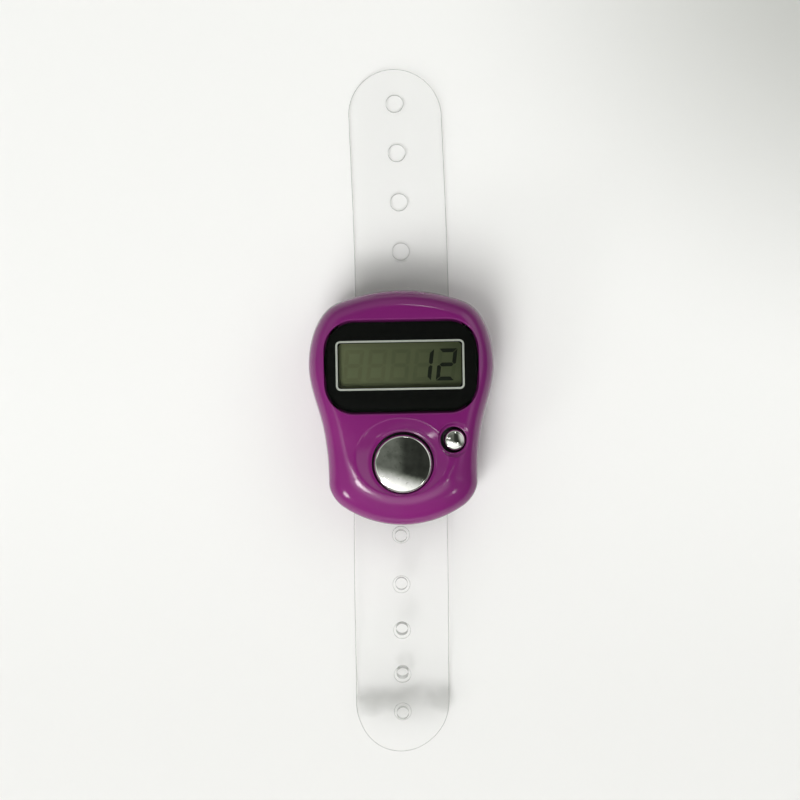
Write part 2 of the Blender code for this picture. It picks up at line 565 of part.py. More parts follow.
def back_cover(outline):
    """The lower shell: strap groove with its two loop bars, cell pocket, lip and screw seats."""
    top = PART_Z - FIT / 2
    outer = edge_rings(outline, 0.0, top, 0.0, BACK_EDGE, EDGE_STEPS - 2)
    lip = WALL + FIT
    inner = lip + LIP_THICK
    rings = list(reversed(outer))
    rings.append(inset_ring(outline, lip, top))
    rings.append(inset_ring(outline, lip, top + LIP_RISE))
    rings.append(inset_ring(outline, inner, top + LIP_RISE))
    rings.append(inset_ring(outline, inner, FLOOR_Z))
    cover = new_object("back_cover", loft(rings), purple())

    # Saddle along the finger, and the groove for the strap
    deep = -4 * MM
    saddle_r = (SADDLE_HALF**2 + SADDLE**2) / (2 * SADDLE)
    steps = 14
    arc = []
    for step in range(steps + 1):
        y = SADDLE_HALF * (2 * step / steps - 1)
        arc.append((y, SADDLE - saddle_r + math.sqrt(saddle_r**2 - y**2)))
    wide = SHOULDER[0] + MM
    saddle = prism([(-SADDLE_HALF, deep)] + arc + [(SADDLE_HALF, deep)], -wide, wide)
    boolean(cover, new_object("cut_saddle", saddle, cutter=True))
    groove_half = STRAP_WIDTH / 2 + STRAP_SIDE_PLAY
    long = TOP_Y + MM
    groove = box((-groove_half, -long, deep), (groove_half, long, GROOVE_Z))
    boolean(cover, new_object("cut_groove", groove, cutter=True))
    for k, side in enumerate((1, -1)):
        ends = sorted((side * BAR_INNER_Y, side * BAR_OUTER_Y))
        soft = BAR_THICK / 3
        shape = [
            (ends[0] + soft, 0.0),
            (ends[1] - soft, 0.0),
            (ends[1], soft),
            (ends[1], BAR_THICK - soft),
            (ends[1] - soft, BAR_THICK),
            (ends[0] + soft, BAR_THICK),
            (ends[0], BAR_THICK - soft),
            (ends[0], soft),
        ]
        bar_half = groove_half + BAR_THICK / 2
        bar = prism(shape, -bar_half, bar_half)
        boolean(cover, new_object(f"add_loop_bar_{k + 1}", bar, cutter=True), "UNION")

    # Ring round the cell, open where the side contact stands, and the posts of the screws
    ring_top = CELL_Z + CELL_THICK - CELL_CHAMFER
    post_low = (GROOVE_Z + FLOOR_Z) / 2
    pocket_r = CELL_R + FIT
    slot_turn = math.asin((CLIP_HALF + FIT) / pocket_r)
    turn = [math.pi / 2 + slot_turn + (2 * math.pi - 2 * slot_turn) * k / ROUND for k in range(ROUND + 1)]
    around = [(CELL_RING_R * math.cos(t), CELL_Y + CELL_RING_R * math.sin(t)) for t in turn]
    ring_inner = pocket_r + 0.1 * MM
    around += [(ring_inner * math.cos(t), CELL_Y + ring_inner * math.sin(t)) for t in reversed(turn)]
    ring = loft([[(x, y, z) for x, y in around] for z in (post_low, ring_top)])
    boolean(cover, new_object("add_cell_ring", ring, cutter=True), "UNION")
    door_bore_top = DOOR_HEAD_Z + DOOR_SCREW_LONG + FIT
    door_post_top = door_bore_top + BLIND_END
    post = [(0, post_low), (CASE_BOSS_R, post_low), (CASE_BOSS_R, door_post_top), (0, door_post_top)]
    boolean(
        cover, new_object("add_door_post", turned(post, SMALL_ROUND, (0.0, DOOR_SCREW_Y)), cutter=True), "UNION"
    )
    web_top = CASE_HEAD_Z + HEAD_GAP + WEB
    pad_r = CASE_HEAD_R + HEAD_GAP + BOSS_WALL
    trim_rings = [inset_ring(outline, WALL, z) for z in (GROOVE_Z, PART_Z + MM)]
    trim = new_object("trim_back_inserts", loft(trim_rings), cutter=True)
    for k, spot in enumerate(CASE_SCREWS):
        pad = [(0, post_low), (pad_r, post_low), (pad_r, web_top + 0.3 * MM), (0, web_top + 0.3 * MM)]
        seat = new_object(f"add_screw_seat_{k + 1}", turned(pad, SMALL_ROUND, spot), cutter=True)
        boolean(seat, trim, "INTERSECT")
        boolean(cover, seat, "UNION")

    # Opening for the cell, door recess and screw holes
    over = FLOOR_Z + 0.1 * MM
    pocket = [(0, deep), (pocket_r, deep), (pocket_r, over), (0, over)]
    boolean(cover, new_object("cut_cell_opening", turned(pocket, ROUND, (0.0, CELL_Y)), cutter=True))
    middle_y = (DOOR_TOP_Y + DOOR_LOW_Y) / 2
    recess_size = (2 * DOOR_HALF, DOOR_TOP_Y - DOOR_LOW_Y, DOOR_CORNER)
    recess = rounded_block(*recess_size, (0.0, middle_y), deep, GROOVE_Z + DOOR_PLATE + FIT)
    boolean(cover, new_object("cut_door_recess", recess, cutter=True))
    bore = CASE_SCREW_R + SCREW_GAP
    hole = [(0, deep), (bore, deep), (bore, door_bore_top), (0, door_bore_top)]
    boolean(cover, new_object("cut_door_bore", turned(hole, SMALL_ROUND, (0.0, DOOR_SCREW_Y)), cutter=True))
    head_r = CASE_HEAD_R + HEAD_GAP
    head_top = CASE_HEAD_Z + HEAD_GAP
    socket_r = CASE_BOSS_R + FIT
    over = top + LIP_RISE + MM
    for k, spot in enumerate(CASE_SCREWS):
        hole = [(0, deep), (head_r, deep), (head_r, head_top), (bore, head_top), (bore, web_top)]
        hole += [(socket_r, web_top), (socket_r, over), (0, over)]
        boolean(cover, new_object(f"cut_case_screw_{k + 1}", turned(hole, SMALL_ROUND, spot, 0.4), cutter=True))
    return cover


def battery_door():
    """A flush plate under the cell, with a round plug that fills the opening and a hole for its screw."""
    middle_y = (DOOR_TOP_Y + DOOR_LOW_Y) / 2
    size = (2 * DOOR_HALF - 2 * FIT, DOOR_TOP_Y - DOOR_LOW_Y - 2 * FIT, DOOR_CORNER - FIT)
    plate = rounded_block(*size, (0.0, middle_y), GROOVE_Z, GROOVE_Z + DOOR_PLATE)
    door = new_object("battery_door", plate, purple())
    plug_r = CELL_R
    low = GROOVE_Z + DOOR_PLATE / 2
    plug = [(0, low), (plug_r, low), (plug_r, DOOR_TOP_Z), (0, DOOR_TOP_Z)]
    boolean(door, new_object("add_door_plug", turned(plug, ROUND, (0.0, CELL_Y)), cutter=True), "UNION")
    bore = CASE_SCREW_R + SCREW_GAP
    seat_r = CASE_HEAD_R + SCREW_GAP
    seat_z = GROOVE_Z + DOOR_HEAD_SINK
    hole = [(0, 0), (seat_r, 0), (seat_r, seat_z), (bore, seat_z), (bore, FLOOR_Z), (0, FLOOR_Z)]
    boolean(door, new_object("cut_door_screw", turned(hole, SMALL_ROUND, (0.0, DOOR_SCREW_Y)), cutter=True))


def screw(name, spot, head_top, radius, head_r, head, length):
    """A cross-head screw that goes in from below: its head hangs under head_top."""
    tip = head_top + length
    dome = head * 0.35
    profile = [(0, head_top - head), (head_r * 0.55, head_top - head), (head_r, head_top - head + dome)]
    profile += [(head_r, head_top), (radius, head_top), (radius, tip - radius), (radius * 0.3, tip), (0, tip)]
    made = new_object(name, turned(profile, SMALL_ROUND, spot), steel())
    cross = radius * 0.28
    reach = head_r * 0.62
    deep = (head_top - head - MM, head_top - head * 0.45)
    for k, (wide, tall) in enumerate(((reach, cross), (cross, reach))):
        slot = box((spot[0] - wide, spot[1] - tall, deep[0]), (spot[0] + wide, spot[1] + tall, deep[1]))
        boolean(made, new_object(f"cut_{name}_slot_{k + 1}", slot, cutter=True))


def screws():
    """Three screws join the covers, two hold the board and one holds the battery door."""
    for k, spot in enumerate(CASE_SCREWS):
        screw(
            f"case_screw_{k + 1}", spot, CASE_HEAD_Z, CASE_SCREW_R, CASE_HEAD_R, CASE_HEAD, CASE_SCREW_LONG
        )
    for k, spot in enumerate(BOARD_SCREWS):
        top = BOARD_Z - GLUE
        screw(f"board_screw_{k + 1}", spot, top, BOARD_SCREW_R, BOARD_HEAD_R, BOARD_HEAD, BOARD_SCREW_LONG)
    spot = (0.0, DOOR_SCREW_Y)
    screw("battery_door_screw", spot, DOOR_HEAD_Z, CASE_SCREW_R, CASE_HEAD_R, DOOR_HEAD, DOOR_SCREW_LONG)


def display():
    """The pane and its printed film in the lens seat, and the display's layers on their holder."""
    centre = (0.0, LENS_Y)
    pane = rounded_block(LENS_WIDTH, LENS_HEIGHT, LENS_RADIUS, centre, LENS_Z, LENS_Z + LENS_THICK, LENS_BEVEL)
    new_object("display_lens", pane, material("clear_pane", (0.8, 0.82, 0.82), 0.04, alpha=0.3))
    film = rounded_block(
        LENS_WIDTH - 2 * GLUE, LENS_HEIGHT - 2 * GLUE, LENS_RADIUS - GLUE, centre, FILM_Z, FILM_Z + FILM_THICK
    )
    film = new_object("lens_film", film, material("black_film", (0.012, 0.013, 0.014), 0.3))
    window = rounded_block(WINDOW_WIDTH, WINDOW_HEIGHT, WINDOW_RADIUS, centre, FILM_Z - MM, FILM_Z + MM)
    boolean(film, new_object("cut_film_window", window, cutter=True))

    middle = (0.0, GLASS_Y)
    short = GLASS_HEIGHT - CONTACT_LEDGE
    rear_middle = (0.0, GLASS_Y + CONTACT_LEDGE / 2)
    grey = material("grey_reflector", (0.34, 0.35, 0.31), 0.5)
    polarizer = material("polarizer", (0.30, 0.32, 0.27), 0.25, alpha=0.7)
    layers = (
        ("lcd_polarizer", WINDOW_HEIGHT + POLARIZER_OVER, centre, POLARIZER_Z, POLARIZER_THICK, polarizer),
        ("lcd_front_glass", GLASS_HEIGHT, middle, FRONT_GLASS_Z, GLASS_THICK, glass()),
        ("lcd_rear_glass", short, rear_middle, REAR_GLASS_Z, GLASS_THICK, glass()),
        ("lcd_reflector", short, rear_middle, REFLECTOR_Z, REFLECTOR_THICK, grey),
    )
    for name, height, spot, low, thick, look in layers:
        new_object(name, rounded_block(GLASS_WIDTH, height, GLASS_CORNER, spot, low, low + thick), look)

    # Holder: a frame round the glass, with a shelf under it and a slot for the striped rubber
    wide = GLASS_WIDTH + 2 * FIT
    tall = GLASS_HEIGHT + 2 * FIT
    frame_size = (wide + 2 * HOLDER_WALL, tall + 2 * HOLDER_WALL, HOLDER_CORNER)
    frame = rounded_block(*frame_size, middle, HOLDER_Z, DISPLAY_TOP_Z - FIT)
    holder = new_object("lcd_holder", frame, material("white_plastic", (0.78, 0.78, 0.76), 0.45))
    over = DISPLAY_TOP_Z + MM
    nest = rounded_block(wide, tall, NEST_CORNER, middle, SHELF_Z + HOLDER_SHELF, over)
    boolean(holder, new_object("cut_glass_nest", nest, cutter=True))
    zebra_y = GLASS_Y - GLASS_HEIGHT / 2 + CONTACT_LEDGE / 2
    under = rounded_block(wide - MM, tall - MM, NEST_CORNER, middle, HOLDER_Z - MM, SHELF_Z)
    boolean(holder, new_object("cut_under_shelf", under, cutter=True))
    slot_half = ZEBRA_WIDTH / 2 + GLUE
    long_half = GLASS_WIDTH / 2 - NEST_CORNER
    slot = box((-long_half, zebra_y - slot_half, SHELF_Z - MM), (long_half, zebra_y + slot_half, over))
    boolean(holder, new_object("cut_zebra_slot", slot, cutter=True))
    strip = box(
        (-long_half + GLUE, zebra_y - ZEBRA_WIDTH / 2, BOARD_TOP_Z + GLUE),
        (long_half - GLUE, zebra_y + ZEBRA_WIDTH / 2, FRONT_GLASS_Z - GLUE),
    )
    new_object("zebra_strip", strip, material("striped_rubber", (0.62, 0.42, 0.44), 0.6))


def board_and_cell(outline):
    """The circuit board with its parts, the button cell and the two contacts that touch it."""
    rings = [inset_ring(outline, BOARD_INSET, z) for z in (BOARD_Z, BOARD_TOP_Z)]
    board = new_object("circuit_board", loft(rings), material("green_board", (0.03, 0.16, 0.07), 0.4))
    for k, spot in enumerate(CASE_SCREWS):
        notch_r = CASE_BOSS_R + FIT
        notch = [(0, BOARD_Z - MM), (notch_r, BOARD_Z - MM), (notch_r, BOARD_TOP_Z + MM), (0, BOARD_TOP_Z + MM)]
        boolean(board, new_object(f"cut_board_notch_{k + 1}", turned(notch, SMALL_ROUND, spot), cutter=True))
    for k, spot in enumerate(BOARD_SCREWS):
        hole_r = BOARD_SCREW_R + SCREW_GAP
        hole = [(0, BOARD_Z - MM), (hole_r, BOARD_Z - MM), (hole_r, BOARD_TOP_Z + MM), (0, BOARD_TOP_Z + MM)]
        boolean(board, new_object(f"cut_board_hole_{k + 1}", turned(hole, SMALL_ROUND, spot, 0.4), cutter=True))

    # Between the display's holder and the count key
    parts_y = GLASS_Y - GLASS_HEIGHT / 2 - FIT - HOLDER_WALL - PARTS_BELOW
    blob_z = BOARD_TOP_Z + GLUE
    blob = [(0, blob_z)]
    for step in range(7):
        t = math.radians(90 * step / 6)
        blob.append((POTTING_R * math.cos(t) if step < 6 else 0, blob_z + POTTING_RISE * math.sin(t)))
    potting = turned(blob, SMALL_ROUND, (-4.0 * MM, parts_y))
    new_object("chip_potting", potting, material("black_epoxy", (0.015, 0.015, 0.016), 0.35))
    chips = (
        ("chip_resistor", (1.0 * MM, parts_y), RESISTOR, (0.03, 0.03, 0.035)),
        ("chip_capacitor", (4.2 * MM, parts_y), CAPACITOR, (0.42, 0.33, 0.22)),
    )
    for name, spot, size, colour in chips:
        chip = rounded_block(size[0], size[1], CHIP_CORNER, spot, blob_z, blob_z + size[2], CHIP_BEVEL)
        new_object(name, chip, material(name, colour, 0.4))

    # Cell: can, sealing groove and the smaller negative cap on top
    top = CELL_Z + CELL_THICK
    can_top = top - CELL_CAP
    profile = [
        (0, CELL_Z),
        (CELL_R - CELL_CHAMFER, CELL_Z),
        (CELL_R, CELL_Z + CELL_CHAMFER),
        (CELL_R, can_top - 0.3 * MM),
        (CELL_R - 0.35 * MM, can_top),
        (CELL_R - 0.8 * MM, can_top),
        (CELL_R - 1.0 * MM, can_top - 0.15 * MM),
        (CELL_R - 1.2 * MM, can_top),
        (CELL_R - 1.4 * MM, top),
        (0, top),
    ]
    new_object("battery_cell", turned(profile, ROUND, (0.0, CELL_Y)), steel())

    side_y = CELL_Y + CELL_R + GLUE
    tab_top = BOARD_Z - GLUE
    bent = [
        (side_y, CELL_Z + 0.5 * MM),
        (side_y + CLIP_THICK, CELL_Z + 0.5 * MM),
        (side_y + CLIP_THICK, tab_top - CLIP_THICK),
        (side_y + LEAF_REACH, tab_top - CLIP_THICK),
        (side_y + LEAF_REACH, tab_top),
        (side_y, tab_top),
    ]
    new_object("battery_clip_positive", prism(bent, -CLIP_HALF, CLIP_HALF), steel())
    touch_z = CELL_Z + CELL_THICK + GLUE
    low_y = CELL_Y - CELL_R - 0.6 * MM
    leaf = [
        (low_y, tab_top - CLIP_THICK),
        (low_y + 2.0 * MM, tab_top - CLIP_THICK),
        (CELL_Y - LEAF_FLAT, touch_z),
        (CELL_Y + LEAF_FLAT, touch_z),
        (CELL_Y + LEAF_REACH, touch_z + CLIP_THICK),
        (CELL_Y + LEAF_REACH - 0.2 * MM, touch_z + 1.9 * CLIP_THICK),
        (CELL_Y + LEAF_FLAT, touch_z + CLIP_THICK),
        (CELL_Y - LEAF_FLAT, touch_z + CLIP_THICK),
        (low_y + 2.0 * MM, tab_top),
        (low_y, tab_top),
    ]
    new_object("battery_clip_negative", prism(leaf, -CLIP_HALF, CLIP_HALF), steel())


def key(name, spot, radius, flange, top, hollow_r, hollow_top):
    """A domed key: crown, round edge, straight side, flange under the cover, hollow underneath."""
    shoulder = top - CROWN
    profile = [(0, top)]
    crown_r = radius - KEY_EDGE * 0.6
    for step in range(1, 6):
        r = crown_r * step / 5
        profile.append((r, top - CROWN * 0.62 * (r / crown_r) ** 2))
    for step in range(1, 4):
        t = math.radians(90 * step / 3)
        drop = CROWN * 0.62
        profile.append(
            (crown_r + (radius - crown_r) * math.sin(t), top - drop - (KEY_EDGE - 0.1 * MM) * (1 - math.cos(t)))
        )
    profile += [(radius, FLANGE_TOP), (radius + flange, FLANGE_TOP), (radius + flange, FLANGE_Z)]
    if hollow_r:
        profile += [(hollow_r, FLANGE_Z), (hollow_r, hollow_top), (0, hollow_top)]
    else:
        profile.append((0, FLANGE_Z))
    sides = ROUND if radius > 3 * MM else SMALL_ROUND
    made = new_object(name, turned([(r, z - shoulder) for r, z in profile], sides), chrome())
    made.location = (spot[0], spot[1], shoulder)


def keys():
    """The two chrome keys and the rubber pads that push them back."""
    top = CASE_TOP + COUNT_PROUD
    hollow_r = PAD_TIP + PAD_GAP
    hollow_top = BOWL_Z + CROWN_ROOF
    key("count_button", (0.0, COUNT_Y), COUNT_R, COUNT_FLANGE, top, hollow_r, hollow_top)
    key("reset_button", (RESET_X, RESET_Y), RESET_R, RESET_FLANGE, CASE_TOP - RESET_SUNK, 0.0, 0.0)

    base = BOARD_TOP_Z + FIT
    tip = hollow_top - FIT
    profile = [
        (0, base),
        (PAD_BASE_R, base),
        (PAD_BASE_R, base + PAD_BASE),
        (PAD_TIP + PAD_SKIRT, base + PAD_BASE),
        (PAD_TIP, base + PAD_BASE + PAD_CONE),
        (PAD_TIP, tip - 0.2 * MM),
        (PAD_TIP - 0.2 * MM, tip),
        (0, tip),
    ]
    new_object("count_rubber_pad", turned(profile, SMALL_ROUND, (0.0, COUNT_Y)), grey_rubber())
    tip = FLANGE_Z - FIT
    wide = RESET_R + RESET_FLANGE - 0.4 * MM
    profile = [(0, base), (wide, base), (wide, base + PAD_BASE), (wide - 0.5 * MM, tip), (0, tip)]
    new_object("reset_rubber_pad", turned(profile, SMALL_ROUND, (RESET_X, RESET_Y)), grey_rubber())


def eased(points, place):
    """The value at a place on a curve through the points, which never overshoots them."""
    if place <= points[0][0]:
        return points[0][1]
    slopes = [(b[1] - a[1]) / (b[0] - a[0]) for a, b in zip(points, points[1:])]
    bends = [0.0] + [2 * a * b / (a + b) if a * b > 0 else 0.0 for a, b in zip(slopes, slopes[1:])] + [slopes[-1]]
    for k, (a, b) in enumerate(zip(points, points[1:])):
        if place <= b[0] or k == len(points) - 2:
            wide = b[0] - a[0]
            t = (place - a[0]) / wide
            h = (2 * t**3 - 3 * t**2 + 1, t**3 - 2 * t**2 + t, -2 * t**3 + 3 * t**2, t**3 - t**2)
            return h[0] * a[1] + h[1] * wide * bends[k] + h[2] * b[1] + h[3] * wide * bends[k + 1]


def strap_piece(name, side, lie, start, end):
    """A stretch of the strap between two distances from the case's middle, round at the strap's tip."""
    half = STRAP_WIDTH / 2
    tip = end >= STRAP_HALF
    straight_end = end - half if tip else end
    steps = max(2, round((straight_end - start) / (1.7 * MM)))
    stations = [(start + (straight_end - start) * step / steps, half) for step in range(steps + 1)]
    if tip:
        for step in range(1, 10):
            t = math.radians(90 * step / 9.4)
            stations.append((straight_end + half * math.sin(t), half * math.cos(t)))
    rings = []
    for distance, reach in stations:
        y = side * distance
        x = eased(SWAY, y)
        z = eased(lie, distance)
        corners = ((-reach, -1), (reach, -1), (reach, 1), (-reach, 1))
        rings.append([(x + dx, y, z + s * STRAP_THICK / 2) for dx, s in corners])
    return new_object(name, loft(rings), clear_vinyl())


def stud(name, side, distance):
    """A mushroom stud that stands square on the strap."""
    step = 0.1 * MM
    slope = (eased(STUD_SIDE_LIE, distance + step) - eased(STUD_SIDE_LIE, distance - step)) / (2 * step)
    top = STRAP_THICK / 2 + STUD_NECK
    brim = top + 0.1 * MM
    profile = [(0, 0), (STUD_NECK_R, 0), (STUD_NECK_R, top), (STUD_HEAD_R, brim)]
    for k in range(1, 5):
        t = math.radians(90 * k / 4)
        profile.append((STUD_HEAD_R * math.cos(t) if k < 4 else 0, brim + (STUD_HEAD - brim + top) * math.sin(t)))
    made = new_object(name, turned(profile, 16), cutter=True)
    y = side * distance
    made.location = (eased(SWAY, y), y, eased(STUD_SIDE_LIE, distance))
    made.rotation_euler = (side * math.atan(slope), 0.0, 0.0)
    return made


def strap():
    """The clear strap, as pieces between its bend lines: holes on one side, studs on the other."""
    end = BEND_ROOT - BEND_GAP
    strap_piece("strap_middle", 1, HOLE_SIDE_LIE, -end, end)
    sides = (
        ("strap_hole_side", 1, HOLE_SIDE_LIE, HOLE_SIDE_BENDS),
        ("strap_stud_side", -1, STUD_SIDE_LIE, STUD_SIDE_BENDS),
    )
    for prefix, side, lie, bends in sides:
        ends = list(bends[1:]) + [STRAP_HALF]
        for k, (start, stop) in enumerate(zip(bends, ends)):
            low = start + BEND_GAP
            high = stop if stop == STRAP_HALF else stop - BEND_GAP
            piece = strap_piece(f"{prefix}_{k + 1}", side, lie, low, high)
            if side > 0:
                for n in range(HOLES):
                    distance = HOLE_FIRST + n * HOLE_PITCH
                    if low < distance < high:
                        deep = [(0, -CASE_TOP), (HOLE_R, -CASE_TOP), (HOLE_R, CASE_TOP), (0, CASE_TOP)]
                        spot = (eased(SWAY, distance), distance)
                        hole = new_object(f"cut_strap_hole_{n + 1}", turned(deep, SMALL_ROUND, spot), cutter=True)
                        boolean(piece, hole)
            else:
                for n in range(STUDS):
                    distance = STUD_FIRST + n * STUD_PITCH
                    if low < distance < high:
                        boolean(piece, stud(f"add_strap_stud_{n + 1}", side, distance), "UNION")


def main():
    clear_scene()
    outline = case_outline()
    front_cover(outline)
    back_cover(outline)
    battery_door()
    screws()
    display()
    board_and_cell(outline)
    keys()
    strap()


main()
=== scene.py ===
"""The looks of a digital finger counter: a glossy purple case with a display, two chrome keys and a
clear vinyl strap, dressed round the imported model. Lengths are in millimetres until a mesh is made."""

import math

import bmesh
import bpy
import numpy as np
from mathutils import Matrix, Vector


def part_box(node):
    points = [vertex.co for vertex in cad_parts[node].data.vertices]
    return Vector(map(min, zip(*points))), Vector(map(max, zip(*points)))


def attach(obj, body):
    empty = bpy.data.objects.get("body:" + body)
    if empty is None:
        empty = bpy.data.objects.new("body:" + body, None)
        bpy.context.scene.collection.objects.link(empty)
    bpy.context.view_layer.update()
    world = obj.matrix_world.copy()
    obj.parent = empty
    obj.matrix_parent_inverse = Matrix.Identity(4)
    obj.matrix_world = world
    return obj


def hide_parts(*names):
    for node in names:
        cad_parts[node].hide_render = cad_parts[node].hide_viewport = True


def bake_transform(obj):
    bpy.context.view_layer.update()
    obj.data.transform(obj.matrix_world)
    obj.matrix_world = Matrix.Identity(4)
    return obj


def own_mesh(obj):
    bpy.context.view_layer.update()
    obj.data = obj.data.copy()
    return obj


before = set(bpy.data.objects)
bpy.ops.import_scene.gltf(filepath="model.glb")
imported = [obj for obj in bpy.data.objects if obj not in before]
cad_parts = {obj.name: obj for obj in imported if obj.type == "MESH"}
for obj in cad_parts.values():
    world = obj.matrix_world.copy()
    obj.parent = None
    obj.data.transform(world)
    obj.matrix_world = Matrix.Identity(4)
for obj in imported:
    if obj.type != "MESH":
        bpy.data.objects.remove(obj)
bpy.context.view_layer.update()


# The back cover is one moulding of purple ABS. Its rounded wall carries the joint lip, and its
# underside is hollowed for the finger, grooved for the strap and bridged by two loop bars.

MM = 0.001


def corner_mm(node, end):
    """The lowest (0) or highest (1) corner of a solid of the frame, in millimetres."""
    return np.array(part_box(node)[end]) / MM


def cubic(t, start, end, leave, arrive):
    """The cubic from start to end, for t from 0 to 1, that leaves and arrives with the given slopes."""
    return (
        (2 * t**3 - 3 * t**2 + 1) * start
        + (t**3 - 2 * t**2 + t) * leave
        + (3 * t**2 - 2 * t**3) * end
        + (t**3 - t**2) * arrive
    )


def heading(degrees):
    """A step of length 1 in a direction, anticlockwise from +X."""
    return np.array([math.cos(math.radians(degrees)), math.sin(math.radians(degrees))])


def case_outline(steps):
    """The case seen from above, anticlockwise from the middle of the key end. Each stretch is the cubic
    that leaves one station and reaches the next along given headings; the left side mirrors the right."""
    top, foot = 18.4, -18.4
    top_r, top_half, foot_r, foot_half = 27.0, 9.8, 16.5, 9.4
    top_y = top - top_r + math.sqrt(top_r**2 - top_half**2)
    foot_y = foot + foot_r - math.sqrt(foot_r**2 - foot_half**2)
    stations = (
        (0.0, foot, 0.0),
        (foot_half, foot_y, math.degrees(math.asin(foot_half / foot_r))),
        (11.7, -11.5, 90.0),
        (13.1, -0.4, 73.3),
        (14.55, 6.7, 90.0),
        (top_half, top_y, 180 - math.degrees(math.asin(top_half / top_r))),
        (0.0, top, 180.0),
    )
    t = np.linspace(0, 1, steps, endpoint=False)[:, None]
    spans = []
    for (x0, y0, leave), (x1, y1, arrive) in zip(stations, stations[1:]):
        reach = math.hypot(x1 - x0, y1 - y0)
        start, end = np.array([x0, y0]), np.array([x1, y1])
        spans.append(cubic(t, start, end, reach * heading(leave), reach * heading(arrive)))
    right = np.vstack(spans + [[(0.0, top)]])
    return np.vstack([right, right[-2:0:-1] * (-1, 1)])


def inset(outline, distance):
    """The closed outline moved inwards along its own normals by a distance."""
    along = np.roll(outline, -1, 0) - np.roll(outline, 1, 0)
    along /= np.linalg.norm(along, axis=1)[:, None]
    return outline + distance * np.column_stack([-along[:, 1], along[:, 0]])


def at_height(points, z):
    """Points of a plan at one height, or each at its own."""
    return np.column_stack([points, np.broadcast_to(z, len(points))])


def edge(outer, inner, low, high, steps, power=2.5):
    """Rings of a rounded edge from an outer plan, where it is upright at the low height, to an inner one,
    where it meets the high one smoothly. The high height is a number, or a function of the place in plan.
    The section is a superellipse of the given power."""
    turn = np.linspace(0, math.pi / 2, steps + 1)
    drawn = 1 - np.clip(np.cos(turn), 0, 1) ** (2 / power)
    rise = np.sin(turn) ** (2 / power)
    plans = [outer + (inner - outer) * d for d in drawn]
    tops = [high(*plan.T) if callable(high) else high for plan in plans]
    return [at_height(plan, low + (top - low) * r) for plan, top, r in zip(plans, tops, rise)]


def mesh_piece(name, verts, faces, body=None, slot=None, sharp=35.0):
    """A smooth-shaded object from points in millimetres. Equal points are merged, the faces are turned
    outwards, and edges sharper than the given angle stay crisp."""
    mesh = bpy.data.meshes.new(name)
    mesh.from_pydata((np.asarray(verts, float) * MM).tolist(), [], [list(map(int, f)) for f in faces])
    solid = bmesh.new()
    solid.from_mesh(mesh)
    bmesh.ops.remove_doubles(solid, verts=solid.verts, dist=1e-7)
    bmesh.ops.recalc_face_normals(solid, faces=solid.faces)
    solid.to_mesh(mesh)
    solid.free()
    mesh.shade_smooth()
    mesh.set_sharp_from_angle(angle=math.radians(sharp))
    made = bpy.data.objects.new(name, mesh)
    bpy.context.scene.collection.objects.link(made)
    if body:
        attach(made, body)
    return made


def grid_faces(rows, columns, around=True):
    """Quads between neighbouring rows of a grid of points; around also joins its last column to its first."""
    i, j = np.meshgrid(np.arange(rows - 1), np.arange(columns if around else columns - 1), indexing="ij")
    k = (j + 1) % columns
    quads = np.stack([i * columns + j, i * columns + k, (i + 1) * columns + k, (i + 1) * columns + j], -1)
    return quads.reshape(-1, 4)


def shell(name, rings, **more):
    """A body whose skin runs through rings of equally many points. A ring that shrinks to a point or
    folds onto a line closes the skin there; an open first or last ring gets one flat face."""
    grid = np.array(rings)
    count = grid.shape[1]
    faces = grid_faces(len(grid), count).tolist()
    for row in (0, len(grid) - 1):
        ring = grid[row]
        folded = np.ptp(ring[:, 0]) < 1e-9
        if not folded:
            faces.append([row * count + k for k in range(count)])
    return mesh_piece(name, grid.reshape(-1, 3), faces, **more)


def carve(body, other, operation="DIFFERENCE", sharp=35.0):
    """Cuts one closed body out of another, or joins them, and removes the second one."""
    step = body.modifiers.new("carve", "BOOLEAN")
    step.operation = operation
    step.object = other
    step.solver = "EXACT"
    bpy.context.view_layer.update()
    shape = body.evaluated_get(bpy.context.evaluated_depsgraph_get())
    carved = bpy.data.meshes.new_from_object(shape)
    body.modifiers.clear()
    body.data = carved
    carved.shade_smooth()
    carved.set_sharp_from_angle(angle=math.radians(sharp))
    bpy.data.objects.remove(other)


def turned(profile, sides, centre=(0.0, 0.0), phase=0.0):
    """Rings of a body of revolution: a profile of radius and height turned about an upright axis."""
    turn = 2 * math.pi * (np.arange(sides) + phase) / sides
    return [
        np.column_stack([centre[0] + r * np.cos(turn), centre[1] + r * np.sin(turn), np.full(sides, z)])
        for r, z in profile
    ]


def fillet(radius, z, size, steps=5, until=75.0):
    """Profile of a cutter's flared mouth: it leaves the bore upright, turns outwards round a quarter
    circle of the given size that is tangent to the face at height z, and runs on above that face."""
    beyond = 0.3
    turn = np.radians(np.linspace(0, until, steps))
    points = [(radius + size * (1 - math.cos(t)), z - size + size * math.sin(t)) for t in turn]
    last = points[-1]
    return points + [(last[0] + beyond * math.sin(turn[-1]), last[1] + beyond * math.cos(turn[-1]))]


def rounded_plan(width, height, radius, centre, steps=10):
    """A rectangle with round corners, seen from above."""
    turn = np.radians(np.linspace(0, 90, steps + 1))
    corners = []
    for k, (sx, sy) in enumerate(((1, 1), (-1, 1), (-1, -1), (1, -1))):
        cx = centre[0] + sx * (width / 2 - radius)
        cy = centre[1] + sy * (height / 2 - radius)
        a = turn + math.radians(90 * k)
        corners.append(np.column_stack([cx + radius * np.cos(a), cy + radius * np.sin(a)]))
    return np.vstack(corners)


def upright(plan, heights):
    """Rings of an upright block: its plan, repeated at each height."""
    return [at_height(plan, z) for z in heights]


